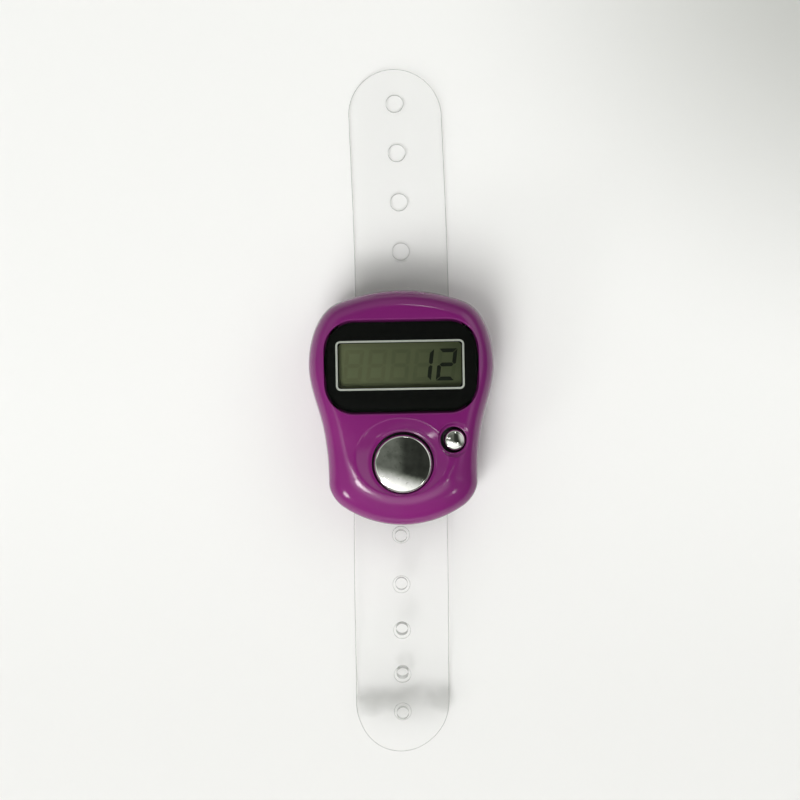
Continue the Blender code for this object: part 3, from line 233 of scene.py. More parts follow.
class Wire:
    """An output of a shader node. Sums, differences, products, quotients and powers add Math nodes."""

    def __init__(self, tree, socket):
        self.tree = tree
        self.socket = socket

    def node(self, kind, settings=None, sockets=None, out=0):
        """Adds a node of a kind to the same tree: its settings first, then its sockets' values or links."""
        made = self.tree.nodes.new(kind)
        for name, value in (settings or {}).items():
            setattr(made, name, value)
        for name, value in (sockets or {}).items():
            if isinstance(value, Wire):
                self.tree.links.new(value.socket, made.inputs[name])
            else:
                made.inputs[name].default_value = value
        return Wire(self.tree, made.outputs[out])

    def maths(self, operation, *values):
        """A Math node of an operation on numbers or wires."""
        return self.node("ShaderNodeMath", {"operation": operation}, dict(enumerate(values)))

    def __add__(self, other):
        return self.maths("ADD", self, other)

    def __radd__(self, other):
        return self.maths("ADD", other, self)

    def __sub__(self, other):
        return self.maths("SUBTRACT", self, other)

    def __rsub__(self, other):
        return self.maths("SUBTRACT", other, self)

    def __mul__(self, other):
        return self.maths("MULTIPLY", self, other)

    def __rmul__(self, other):
        return self.maths("MULTIPLY", other, self)

    def __truediv__(self, other):
        return self.maths("DIVIDE", self, other)

    def __pow__(self, other):
        return self.maths("POWER", self, other)

    def absolute(self):
        """Its distance from 0."""
        return self.maths("ABSOLUTE", self)

    def axis(self, number):
        """Its part along x (0), y (1) or z (2)."""
        return self.node("ShaderNodeSeparateXYZ", sockets={"Vector": self}, out=number)

    def clamp(self, low, high, to_low=0.0, to_high=1.0, soft=False):
        """The wire's share of the way from low to high, spread over two other numbers and held there."""
        return self.node(
            "ShaderNodeMapRange",
            {"interpolation_type": "SMOOTHSTEP" if soft else "LINEAR"},
            {"Value": self, "From Min": low, "From Max": high, "To Min": to_low, "To Max": to_high},
        )

    def noise(self, per_mm, detail=2.0, roughness=0.5):
        """Smooth noise with so many bumps to a millimetre, about 0.5 on average."""
        values = {"Vector": self, "Scale": per_mm / MM, "Detail": detail, "Roughness": roughness}
        return self.node("ShaderNodeTexNoise", sockets=values)

    def tint(self, first, second):
        """The colour that this share of the way from the first colour to the second gives."""
        mixed = self.tree.nodes.new("ShaderNodeMix")
        mixed.data_type = "RGBA"
        self.tree.links.new(self.socket, mixed.inputs["Factor"])
        for name, value in (("A", first), ("B", second)):
            socket = next(s for s in mixed.inputs if s.name == name and s.type == "RGBA")
            if isinstance(value, Wire):
                self.tree.links.new(value.socket, socket)
            else:
                socket.default_value = (*value, 1.0)
        return Wire(self.tree, next(s for s in mixed.outputs if s.type == "RGBA"))

    def bump(self, height_mm, strength=1.0):
        """A bump of this height: the wire is its relief, from 0 to 1."""
        values = {"Height": self, "Distance": height_mm * MM, "Strength": strength}
        return self.node("ShaderNodeBump", sockets=values)


def new_finish(name):
    """A material with an empty tree; gives the material and its object coordinates as a wire."""
    made = bpy.data.materials.new(name)
    made.use_nodes = True
    made.node_tree.nodes.clear()
    tree = made.node_tree
    return made, Wire(tree, tree.nodes.new("ShaderNodeTexCoord").outputs["Object"])


def principled(place, **sockets):
    """A Principled shader with these sockets, named in words with underscores."""
    values = {name.replace("_", " "): value for name, value in sockets.items()}
    return place.node("ShaderNodeBsdfPrincipled", sockets=values)


def finished(made, shader):
    """Ends a material in a shader."""
    end = made.node_tree.nodes.new("ShaderNodeOutputMaterial")
    made.node_tree.links.new(shader.socket, end.inputs["Surface"])
    return made


def surface(made, place, **sockets):
    """Ends a material in one Principled shader with these sockets."""
    return finished(made, principled(place, **sockets))


def purple_plastic():
    """Glossy moulded ABS: a deep magenta purple with painted shade that darkens it towards the upper right,
    where less light falls, a trace of flow in the colour and a faint moulded waviness."""
    made, place = new_finish("purple_abs")
    flow = place.noise(0.08, 3.0).clamp(0.3, 0.7)
    # Painted shade: the purple grows darker towards the upper right, away from the light.
    deep = (place.axis(0) * 0.8 + place.axis(1) * 0.6).clamp(-11 * MM, 2 * MM, soft=True)
    skin = place.noise(2.6, 2.0) * 0.6 + place.noise(0.5, 1.0) * 0.4
    # The near tones are the lit purple; the far tones are the same purple in painted shade.
    near = flow.tint((0.188, 0.0120, 0.142), (0.212, 0.0150, 0.158))
    far = flow.tint((0.146, 0.0090, 0.114), (0.164, 0.0112, 0.126))
    return surface(
        made,
        place,
        Base_Color=deep.tint(near, far),
        Roughness=place.noise(1.1, 2.0).clamp(0.3, 0.7, 0.10, 0.16),
        Normal=skin.bump(0.004, 0.35),
        IOR=1.49,
    )


def dress(node, finish):
    """Gives a solid of the frame its finish."""
    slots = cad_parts[node].data.materials
    slots.clear()
    slots.append(finish)


def wear(piece, finish):
    """Gives a new piece its finish."""
    piece.data.materials.clear()
    piece.data.materials.append(finish)
    return piece


purple = purple_plastic()
outline = case_outline(32)
spine = outline * (0, 0.55)
joint_low, joint_high = 5.9, 6.1
# The joint's small round: insets, each with a distance from the joint.
joint_round = ((0.0, 0.14), (0.03, 0.04), (0.12, 0.0))
floor_top, lip_top = 3.7, 6.8
wall, lip_gap, lip_thick = 1.3, 0.2, 0.7
lip_out = wall + lip_gap
lip_in = wall + lip_gap + lip_thick
groove_half, groove_top = 8.1, 2.7


def joint_edge(joint, way):
    """Rings of the small round at the joint, from the full wall to the joint's face. The way is 1 for a
    wall above the joint and -1 for one below it."""
    return [at_height(inset(outline, d), joint + way * h) for d, h in joint_round]


def back_shell():
    """The wall and underside: rings run from the inside floor over the lip, down the outer wall, round the
    superellipse edge and in to the middle line of the underside."""
    edge_in = 2.6
    flat = inset(outline, edge_in)
    rings = [at_height(spine, floor_top), at_height(inset(outline, lip_in), floor_top)]
    lip = ((lip_in, lip_top), (lip_out, lip_top), (lip_out, joint_low))
    rings += [at_height(inset(outline, d), z) for d, z in lip]
    rings += joint_edge(joint_low, -1)[:0:-1]
    rings += edge(outline, flat, joint_low - joint_round[0][1], 0.0, 20)
    rings += [at_height(flat + (spine - flat) * s, 0.0) for s in np.linspace(0, 1, 24)[1:]]
    return shell("case_back", rings)


def crosswise(plan, half):
    """Rings of a bar along X, from its section of y and z."""
    return [np.column_stack([np.full(len(plan), x), plan]) for x in (-half, half)]


back = back_shell()
under = -4.0
saddle_half, saddle_deep = 12.3, 1.0
saddle_r = (saddle_half**2 + saddle_deep**2) / (2 * saddle_deep)
run = np.linspace(-saddle_half, saddle_half, 49)
arch = np.column_stack([run, saddle_deep - saddle_r + np.sqrt(saddle_r**2 - run**2)])
saddle = np.vstack([[(-saddle_half, under)], arch, [(saddle_half, under)]])
carve(back, shell("saddle", crosswise(saddle, 16.0)))
groove_corners = ((-1, under), (1, under), (1, groove_top), (-1, groove_top))
groove = np.array([(side * groove_half, z) for side, z in groove_corners])
carve(back, shell("groove", [np.insert(groove, 1, y, axis=1) for y in (-20.0, 20.0)]))
bar_y, bar_wide, bar_thick, bar_half = 12.3, 2.6, 1.1, 8.6
for side in (1, -1):
    bar = rounded_plan(bar_wide, bar_thick, 0.35, (side * bar_y, bar_thick / 2), 5)
    carve(back, shell("loop_bar", crosswise(bar, bar_half)), "UNION")
fit, boss_wall = 0.2, 0.6
cell_r, cell_y, cell_ring = 5.8, 2.0, 0.9
screw_r, screw_gap, screw_head_r = 0.8, 0.15, 1.4
door_half, door_corner, door_edge, door_margin, door_recess = 6.9, 1.2, 0.6, 1.6, 3.3
door_screw_y = cell_y - (cell_r + fit + cell_ring) - fit - (screw_r + screw_gap + boss_wall)
door_low = door_screw_y - screw_head_r - door_edge
door_high = cell_y + cell_r + door_margin
door = rounded_plan(2 * door_half, door_high - door_low, door_corner, (0.0, (door_low + door_high) / 2))
carve(back, shell("door_recess", upright(door, (-1.0, door_recess))))
carve(back, shell("cell_mouth", turned([(cell_r + fit, 3.0), (cell_r + fit, 4.5)], 64, (0.0, cell_y))))
well_r, well_mouth_r, well_top = 1.6, 1.75, 3.6
well = [(well_mouth_r, -1.0), (well_mouth_r, 0.0), (well_r, 0.12), (well_r, well_top)]
# The well on the middle line opens into the strap's groove, and has no mouth of its own.
well_in_groove = [(well_r, 1.0), (well_r, well_top)]
for spot in ((10.3, 12.6), (-10.3, 12.6), (0.0, -15.7)):
    carve(back, shell("screw_well", turned(well if spot[0] else well_in_groove, 48, spot, 0.4)))
wear(back, purple)
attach(back, "case")
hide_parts("back_cover")
dress("battery_door", purple)


# Inside lie one button cell, its two spring contacts, and six cross-head screws. They are nickel-plated
# steel, turned and rolled bright.

def bright_steel():
    """Nickel-plated steel with a fine brushed grain and a few dull patches."""
    made, place = new_finish("nickel_steel")
    brushed = place.node("ShaderNodeMapping", sockets={"Vector": place, "Scale": (1.0, 14.0, 1.0)})
    grain = brushed.noise(1.2, 3.0)
    patch = place.noise(0.5, 2.0)
    return surface(
        made,
        place,
        Base_Color=patch.clamp(0.3, 0.7).tint((0.56, 0.55, 0.53), (0.68, 0.67, 0.65)),
        Metallic=1.0,
        Roughness=patch.clamp(0.3, 0.7, 0.2, 0.32),
        Normal=grain.bump(0.004, 0.3),
    )


steel = bright_steel()
steel_parts = ["battery_cell", "battery_clip_positive", "battery_clip_negative", "battery_door_screw"]
steel_parts += [f"case_screw_{k}" for k in (1, 2, 3)] + [f"board_screw_{k}" for k in (1, 2)]
for part in steel_parts:
    dress(part, steel)


# The circuit board is green glass-epoxy, 0.8 mm thick. A blob of black epoxy covers the bonded chip,
# and a resistor and a capacitor are soldered beside it.

def stripes(place, scale):
    """Even bands side by side along X, from 0 to 1. The scale is the Wave texture's own."""
    kind = {"wave_type": "BANDS", "bands_direction": "X"}
    return place.node("ShaderNodeTexWave", kind, {"Vector": place, "Scale": scale})


def board_green():
    """Green solder mask over copper: tracks show as slightly lighter bands under a satin skin."""
    made, place = new_finish("board_green")
    track = stripes(place, 180.0).clamp(0.55, 0.65)
    return surface(
        made,
        place,
        Base_Color=track.tint((0.02, 0.11, 0.045), (0.035, 0.19, 0.08)),
        Roughness=place.noise(3.0).clamp(0.3, 0.7, 0.3, 0.4),
        Normal=track.bump(0.02, 0.5),
    )


def speckled(name, first, second, roughness, grain_per_mm, relief, shine=0.5):
    """A plain moulded or fired finish: two close tones in fine grain, with a little relief. Shine is 0
    for a print that lies against glass."""
    made, place = new_finish(name)
    grain = place.noise(grain_per_mm, 3.0)
    return surface(
        made,
        place,
        Base_Color=grain.clamp(0.35, 0.65).tint(first, second),
        Roughness=grain.clamp(0.3, 0.7, roughness - 0.05, roughness + 0.05),
        Specular_IOR_Level=shine,
        Normal=grain.bump(relief, 0.4),
    )


dress("circuit_board", board_green())
dress("chip_potting", speckled("black_epoxy", (0.012, 0.012, 0.013), (0.02, 0.02, 0.021), 0.28, 1.5, 0.01))
dress("chip_resistor", speckled("resistor_black", (0.02, 0.02, 0.022), (0.04, 0.04, 0.043), 0.4, 6.0, 0.006))
dress("chip_capacitor", speckled("capacitor_tan", (0.36, 0.27, 0.17), (0.46, 0.36, 0.24), 0.45, 6.0, 0.006))


# The display stands over the board in a white moulded holder, joined to it by a strip of striped
# rubber. Its glass sandwich has a grey-green reflector behind and a polarizer on top.

def striped_rubber():
    """Silicone rubber with fine conductive stripes across its length."""
    made, place = new_finish("striped_rubber")
    wave = stripes(place, 900.0)
    return surface(
        made,
        place,
        Base_Color=wave.clamp(0.4, 0.6).tint((0.03, 0.03, 0.03), (0.62, 0.4, 0.42)),
        Roughness=0.6,
        Normal=place.noise(4.0).bump(0.006, 0.3),
    )


def display_cell(name, share):
    """The liquid-crystal sandwich as it shows: grey-green, with painted light that makes it lighter towards
    the left, where more light falls, and softly uneven. The share darkens or lightens it all."""
    made, place = new_finish(name)
    # Painted shade: the cell darkens towards the right, away from the light.
    cloud = place.axis(0).clamp(8.5 * MM, -8.5 * MM) * 0.8 + place.noise(0.2, 2.0).clamp(0.3, 0.7) * 0.2
    right = share * np.array((0.098, 0.116, 0.060))
    left = share * np.array((0.215, 0.238, 0.128))
    return surface(
        made,
        place,
        Base_Color=cloud.tint(right, left),
        Roughness=0.2,
        Specular_IOR_Level=0.15,
        Normal=place.noise(1.5).bump(0.002, 0.2),
    )


dress("lcd_holder", speckled("white_moulding", (0.72, 0.72, 0.70), (0.80, 0.80, 0.78), 0.42, 1.4, 0.006))
dress("zebra_strip", striped_rubber())
cell_look = display_cell("display_cell", 1.0)
for part in ("lcd_front_glass", "lcd_rear_glass", "lcd_reflector", "lcd_polarizer"):
    dress(part, cell_look)

ink = 0.02
digits_z = corner_mm("lcd_polarizer", 1)[2] + ink
display_y = 6.3
digits_y = display_y + 0.25


def digit_strokes(lit, centre_x, height=4.95, wide=2.85, stroke=0.6, lean=7.0, gap=0.06):
    """Plans of a seven-segment digit's strokes, mitred where they meet and leaning to the right. The
    outer strokes are trapezoids, and the middle one has pointed ends."""
    w, h, s, g = wide / 2, height / 2, stroke, gap
    top = [(-w + g, h), (w - g, h), (w - s - g, h - s), (-w + s + g, h - s)]
    side = [(w, h - g), (w, g + s / 4), (w - s / 2, g), (w - s, s / 2 + g), (w - s, h - s - g)]
    middle = [(-w + s / 2 + g, 0), (-w + s + g, s / 2), (w - s - g, s / 2)]
    middle += [(w - s / 2 - g, 0), (w - s - g, -s / 2), (-w + s + g, -s / 2)]
    strokes = {
        "a": (top, 1, 1), "b": (side, 1, 1), "c": (side, 1, -1), "d": (top, 1, -1),
        "e": (side, -1, -1), "f": (side, -1, 1), "g": (middle, 1, 1),
    }
    plans = []
    for name in lit:
        shape, flip_x, flip_y = strokes[name]
        plan = np.array(shape) * (flip_x, flip_y)
        plan[:, 0] += plan[:, 1] * math.tan(math.radians(lean)) + centre_x
        plan[:, 1] += digits_y
        plans.append(plan)
    return plans


def flat_bars(name, plans, low, high, **more):
    """One piece of many thin flat bars, each a plan between two heights."""
    verts, faces = [], []
    for plan in plans:
        n, first = len(plan), len(verts)
        verts += [(x, y, low) for x, y in plan] + [(x, y, high) for x, y in plan]
        faces += [[first + k for k in range(n)], [first + n + k for k in range(n)]]
        faces += [[first + k, first + (k + 1) % n, first + n + (k + 1) % n, first + n + k] for k in range(n)]
    return mesh_piece(name, verts, faces, **more)


digit_places = (-7.2, -3.6, 0.0, 3.6, 7.2)
digit_shift = -0.2
shown = {3: "bc", 4: "abged"}
dark, faint = [], []
for k, x in enumerate(digit_places):
    on = shown.get(k, "")
    dark += digit_strokes(on, x + digit_shift)
    faint += digit_strokes([s for s in "abcdefg" if s not in on], x + digit_shift)
digits = flat_bars("display_digits", dark, digits_z, digits_z + ink, body="case", slot="black_film")
wear(digits, speckled("display_ink", (0.016, 0.020, 0.014), (0.022, 0.027, 0.018), 0.4, 2.0, 0.002, 0.0))
ghosts = flat_bars("display_ghosts", faint, digits_z - ink / 2, digits_z, body="case", slot="polarizer")
wear(ghosts, display_cell("ghost_segments", 0.88))


# Two rubber pads stand on the board under the keys. They are moulded grey silicone, matt, and push
# the keys back up.

pad_rubber = speckled("grey_silicone", (0.26, 0.26, 0.275), (0.33, 0.33, 0.345), 0.66, 3.0, 0.01)
count_spot = (0.0, -8.65)
reset_spot = (8.0, -5.1)
# A pad's profile: radii with heights over its foot, then radii with depths under its top.
count_foot = ((0.0, 0.0), (3.9, 0.0), (4.0, 0.1), (4.0, 0.25), (3.9, 0.35), (2.9, 0.35), (2.2, 1.25))
count_head = ((2.2, 0.2), (2.0, 0.0), (0.0, 0.0))
reset_foot = ((0.0, 0.0), (1.85, 0.0), (1.95, 0.1), (1.95, 0.35))
reset_head = ((1.45, 0.1), (1.35, 0.0), (0.0, 0.0))
pads = (
    ("count", count_spot, 0.8, count_foot, count_head),
    ("reset", reset_spot, 0.6, reset_foot, reset_head),
)
for key, spot, travel, foot, head in pads:
    node = f"{key}_rubber_pad"
    low, top = corner_mm(node, 0)[2], corner_mm(node, 1)[2]
    profile = [(r, low + h) for r, h in foot] + [(r, top - h) for r, h in head]
    pad = shell(f"{key}_pad", turned(profile, 64, spot), body="case", slot="grey_rubber")
    wear(pad, pad_rubber)
    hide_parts(node)
    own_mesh(pad)


# The count key and the reset key are moulded domes with a bright chrome plating. A flange under the
# cover keeps each one in its hole.

def chrome_plate():
    """Bright chrome plating over a moulded key: hardly any roughness, faint waves and a few specks. Down the
    side of the key it is painted dark and dull: partly where the plating stops, partly as painted shade in
    the gap round the key."""
    made, place = new_finish("chrome_plate")
    wave = place.noise(0.35, 2.0)
    speck = place.noise(1.6, 4.0).clamp(0.62, 0.72)
    # Painted shade: below the top the key is dark and dull. This stands in for the shade in the gap round it
    # as well as for the bare moulding.
    plated = place.axis(2).clamp(12.35 * MM, 12.5 * MM)
    bright = speck.tint((0.66, 0.67, 0.64), (0.45, 0.46, 0.43))
    return surface(
        made,
        place,
        Base_Color=plated.tint((0.03, 0.025, 0.03), bright),
        Metallic=plated,
        Roughness=speck.clamp(0.0, 1.0, 0.035, 0.12) + (1.0 - plated) * 0.5,
        Normal=wave.bump(0.012, 0.35),
    )


flange_low, flange_high = 9.97, 10.67


def key_rings(spot, radius, top, bend, flange, hollow):
    """A turned key: crowned top, round shoulder, straight side, flange, and a hollow or flat underside.
    The crown drops by bend times the square of the distance from its middle, and the shoulder is a
    quarter of an ellipse."""
    shoulder, drop = 0.42, 0.6
    crown_r = radius - shoulder
    crown = bend * crown_r**2
    r = np.linspace(0, crown_r, 14)
    profile = list(zip(r, top - crown * (r / crown_r) ** 2))
    t = np.radians(np.linspace(0, 90, 11)[1:])
    profile += list(zip(crown_r + (radius - crown_r) * np.sin(t), top - crown - drop * (1 - np.cos(t))))
    profile += [(radius, flange_high), (radius + flange, flange_high), (radius + flange, flange_low)]
    if hollow:
        hollow_r, hollow_top = hollow
        profile += [(hollow_r, flange_low), (hollow_r, hollow_top), (0.0, hollow_top)]
    else:
        profile += [(0.0, flange_low)]
    return turned(profile, 96, spot)


chrome = chrome_plate()
# Each key's body, node, place, radius, bend of the crown, width of the flange, and hollow.
keys = (
    ("count_key", "count_button", count_spot, 4.5, 0.015, 0.8, (3.3, 12.47)),
    ("reset_key", "reset_button", reset_spot, 1.65, 0.11, 0.7, None),
)
for body, node, spot, radius, bend, flange, hollow in keys:
    key = shell(body, key_rings(spot, radius, corner_mm(node, 1)[2], bend, flange, hollow))
    wear(key, chrome)
    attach(key, body)
    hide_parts(node)


# The front cover is the visible purple shell: rounded all round, with a sunk seat for the pane, an
# oval bowl round the count key and a small dish round the reset key, all in one moulding.

case_top = corner_mm("front_cover", 1)[2]
face_thick = 1.3
bowl_spot, bowl_half = np.array((-0.2, count_spot[1] + 1.05)), np.array((7.4, 6.1))
dish_r, dish_deep = 2.75, 0.55
count_hole_r, reset_hole_r = 4.75, 2.0
count_hole_spot = np.array(count_spot) + (-0.03, 0.14)
reset_hole_spot = np.array(reset_spot) + (-0.2, 0.05)
lens_size = (23.3, 13.9, 4.4)
seat_z, cut_from = 12.06, 9.0


def smooth(t):
    """0 below 0, 1 above 1, and an even S between."""
    t = np.clip(t, 0, 1)
    return t * t * (3 - 2 * t)


def front_height(x, y):
    """Height of the front face. Level round the display, it falls away towards the key end with the
    square of the distance below the display, and there towards both sides as well."""
    level_end, fall, side_fall, blend = -0.9, 0.0021, 0.0015, 6
    below = np.clip(level_end - y, 0, None)
    return case_top - fall * below**2 - side_fall * x**2 * smooth(below / blend)


def inside_height(x, y):
    """Height of the face's inside: lower under the bowl, and by another step under the pane's seat."""
    level = case_top - face_thick
    bowl_drop, seat_drop, near = 1.35, 0.96, 0.97
    bowl_room, seat_room = (7.7, 6.5), (12.45, 7.75)
    oval = np.hypot((x - bowl_spot[0]) / bowl_room[0], (y - bowl_spot[1]) / bowl_room[1])
    seat = np.maximum(np.abs(x) / seat_room[0], np.abs(y - display_y) / seat_room[1])
    z = level - bowl_drop * (1 - smooth((oval - near) / 0.1)) * (seat > 1)
    return np.minimum(z, level - seat_drop * (1 - smooth((seat - near) / 0.06)))


def front_shell():
    """The shell: rings run from the middle line out over the face, down the rounded edge and the slightly
    leaning wall to the joint, and back inside. Both ends fold onto the middle line. At the key end the
    edge is rounded further in, up to the bowl's rim."""
    edge_in, edge_low, lean, inner_edge_in = 3.2, 9.4, 0.15, 3.3
    key_end, blend = -4.5, 6.5
    flat = inset(outline, edge_in)
    from_bowl = (flat - bowl_spot) / bowl_half
    on_rim = bowl_spot + bowl_half * from_bowl / np.linalg.norm(from_bowl, axis=1)[:, None]
    flat = flat + (on_rim - flat) * smooth((key_end - flat[:, 1]) / blend)[:, None]
    rings = []
    for s in np.linspace(1, 0, 90):
        plan = flat + (spine - flat) * s
        rings.append(at_height(plan, front_height(*plan.T)))
    rings += edge(inset(outline, lean), flat, edge_low, front_height, 32, 2.1)[-2::-1]
    rings += joint_edge(joint_high, 1)
    rings += edge(inset(outline, wall), inset(outline, inner_edge_in), joint_high, case_top - face_thick, 10)
    flat = rings[-1][:, :2]
    for s in np.linspace(0, 1, 40)[1:]:
        plan = flat + (spine - flat) * s
        rings.append(at_height(plan, inside_height(*plan.T)))
    return shell("case_front", rings)


def grown(size, by):
    """A plan's width, height and corner radius, with a margin added all round."""
    width, height, radius = size
    return width + 2 * by, height + 2 * by, radius + by


front = front_shell()
centre = (0.0, display_y)
seat_gap = 0.2
seat = grown(lens_size, seat_gap)
opening = rounded_plan(19.9, 8.2, 0.9, centre, 14)
seat_rings = upright(opening, (cut_from, seat_z))
for r, z in [(0.0, seat_z)] + fillet(0.0, case_top, 0.28):
    seat_rings.append(at_height(rounded_plan(*grown(seat, r), centre, 14), z))
carve(front, shell("pane_seat", seat_rings))


def sunk_bore(name, hole, hole_r, rim, rim_half, form, sides=160):
    """A cutter for a round bore at the bottom of an oval hollow. From the bore's flared mouth (t = 0) to
    the rim (t = 1) the wall rises evenly. Its slope only grows over the first share m, and it dies away
    over the last share r, where the wall meets the face smoothly: the rise is k*t*t/(2m), then
    k*(t - m/2), then 1 - k*(1-t)*(1-t)/(2r), with k = 1/(1 - m/2 - r/2). The form gives the height of
    the mouth and r for each direction."""
    turn = 2 * math.pi * (np.arange(sides) + 0.4) / sides
    round_plan = np.column_stack([np.cos(turn), np.sin(turn)])
    inner = hole + hole_r * round_plan
    outer = rim + rim_half * round_plan
    floor, r = form(turn)
    m, flare = 0.35, 0.16
    k = 1 / (1 - m / 2 - r / 2)
    rings = [at_height(inner, cut_from)]
    for out, dz in fillet(0.0, 0.0, flare, until=70.0)[:-1]:
        rings.append(at_height(inner + out * round_plan, floor + dz))
    start = rings[-1]
    for t in np.linspace(0, 1, 33)[1:]:
        plan = start[:, :2] + (outer - start[:, :2]) * t
        rise = np.where(t < m, k * t * t / (2 * m), k * (t - m / 2))
        rise = np.where(t > 1 - r, 1 - k * (1 - t) ** 2 / (2 * r), rise)
        rings.append(at_height(plan, start[:, 2] + (front_height(*plan.T) - start[:, 2]) * rise))
    past, over = 0.25, 0.02
    beyond = outer + past * round_plan
    rings.append(at_height(beyond, front_height(*beyond.T) + over))
    rings.append(rings[-1] + (0, 0, 3.0))
    return shell(name, rings)


def bowl_form(turn):
    """The bowl is 1.2 deep on the display's side and 0.5 towards the key end, where its rim turns slower."""
    return case_top - 0.85 - 0.35 * np.sin(turn), 0.15 + 0.15 * (0.5 - 0.5 * np.sin(turn))


def dish_form(turn):
    """The dish has a level floor and a crisp rim all round."""
    return front_height(*reset_spot) - dish_deep, 0.15


carve(front, sunk_bore("count_bore", count_hole_spot, count_hole_r, bowl_spot, bowl_half, bowl_form))
carve(front, sunk_bore("reset_bore", reset_hole_spot, reset_hole_r, reset_spot, dish_r, dish_form))
wear(front, purple)
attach(front, "case")
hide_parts("front_cover")


# The pane is clear acrylic with a polished bevel. A black film is printed and glued behind it, with a
# window for the display and a white line round the window.

def see_through(made, share, tone, skin):
    """Ends a material in a mix: a share of the light meets the skin, and the rest passes in this tone."""
    clear = skin.node("ShaderNodeBsdfTransparent", sockets={"Color": (*tone, 1.0)})
    return finished(made, skin.node("ShaderNodeMixShader", sockets={0: share, 1: clear, 2: skin}))


def clear_acrylic():
    """Clear acrylic as a thin pane: it lets light through and mirrors more at a slant."""
    made, place = new_finish("clear_acrylic")
    gloss = principled(
        place, Base_Color=(0.02, 0.02, 0.02, 1.0), Roughness=0.03, IOR=1.49, Specular_IOR_Level=0.5
    )
    ripple = place.noise(0.4).bump(0.004, 0.2)
    slant = place.node("ShaderNodeFresnel", sockets={"IOR": 1.49, "Normal": ripple})
    return see_through(made, slant.clamp(0.0, 1.0, 0.02, 1.0), (0.97, 0.98, 0.97), gloss)


lens_low, lens_high = corner_mm("display_lens", 0)[2], corner_mm("display_lens", 1)[2]
bevel = 0.25
t = np.radians(np.linspace(0, 90, 6))
lens_rings = [at_height(rounded_plan(*lens_size, centre, 16), lens_low)]
for d, z in zip(bevel * (1 - np.cos(t)), lens_high - bevel + bevel * np.sin(t)):
    lens_rings.append(at_height(rounded_plan(*grown(lens_size, -d), centre, 16), z))
pane = wear(shell("display_pane", lens_rings, body="case", slot="clear_pane"), clear_acrylic())
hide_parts("display_lens")

film_low, film_high = corner_mm("lens_film", 0)[2], corner_mm("lens_film", 1)[2]
window, window_at = (18.9, 6.85, 0.6), (digit_shift, digits_y)


def plan_ring(name, outer, inner, low, high, **more):
    """A flat ring between two plans of equally many points, from one height to another."""
    rings = [at_height(outer, low), at_height(outer, high), at_height(inner, high), at_height(inner, low)]
    grid = np.array(rings + rings[:1])
    return mesh_piece(name, grid.reshape(-1, 3), grid_faces(len(grid), len(outer)), **more)


film_plan = rounded_plan(*grown(lens_size, -0.08), centre, 16)
film_hole = rounded_plan(*window, window_at, 16)
film = plan_ring("printed_film", film_plan, film_hole, film_low, film_high, body="case", slot="black_film")
wear(film, speckled("film_black", (0.0060, 0.0068, 0.0062), (0.0080, 0.0088, 0.0078), 0.35, 1.0, 0.001, 0.0))
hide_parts("lens_film")
line_wide, line_print = 0.3, 0.03
line_in = (19.2, 7.05, 0.45)
line = plan_ring(
    "window_line",
    rounded_plan(*grown(line_in, line_wide), window_at, 16),
    rounded_plan(*line_in, window_at, 16),
    film_high,
    film_high + line_print,
    body="case",
    slot="white_plastic",
)
wear(line, speckled("white_print", (0.80, 0.82, 0.76), (0.86, 0.88, 0.82), 0.5, 3.0, 0.002, 0.0))


# The strap is one strip of clear soft vinyl, cut with four holes on one half and moulded with five
# mushroom studs on the other. It runs through the loops and bends to wrap a finger.

strap_half, strap_wide, strap_thick = 54.5, 15.0, 1.0
tip_r = strap_wide / 2
flat_z = 0.56
loop_z = 1.9
hole_lie = ((17.0, loop_z), (20.2, 1.35), (24.425, flat_z), (48.95, flat_z), (54.5, flat_z + 0.1))
stud_lie = (
    (17.0, loop_z), (22.7, 3.05), (27.44, 3.6), (32.97, 2.95), (38.5, 1.95),
    (44.2, flat_z), (45.6, flat_z + 0.3), (49.15, 2.4), (54.5, 4.8),
)
sway = ((-54.5, -1.0), (-50.0, -0.72), (-17.0, -0.5), (17.0, 0.3), (54.5, -0.5))
first_hole, hole_pitch = 25.1, 7.95
first_stud, stud_pitch = 20.75, 7.1
hole_places = [first_hole + hole_pitch * k for k in range(4)]
stud_places = [first_stud + stud_pitch * k for k in range(5)]


def eased(points, place):
    """The value at each place on a curve through the points, with slopes that never let it overshoot."""
    place = np.atleast_1d(np.asarray(place, float))
    at, value = np.array(points, float).T
    chord = np.diff(value) / np.diff(at)
    product = chord[:-1] * chord[1:]
    total = np.where(chord[:-1] + chord[1:] == 0, 1, chord[:-1] + chord[1:])
    bend = np.concatenate([[0.0], np.where(product > 0, 2 * product / total, 0.0), chord[-1:]])
    k = np.clip(np.searchsorted(at, place) - 1, 0, len(at) - 2)
    wide = at[k + 1] - at[k]
    t = np.clip((place - at[k]) / wide, 0, None)
    return cubic(t, value[k], value[k + 1], wide * bend[k], wide * bend[k + 1])


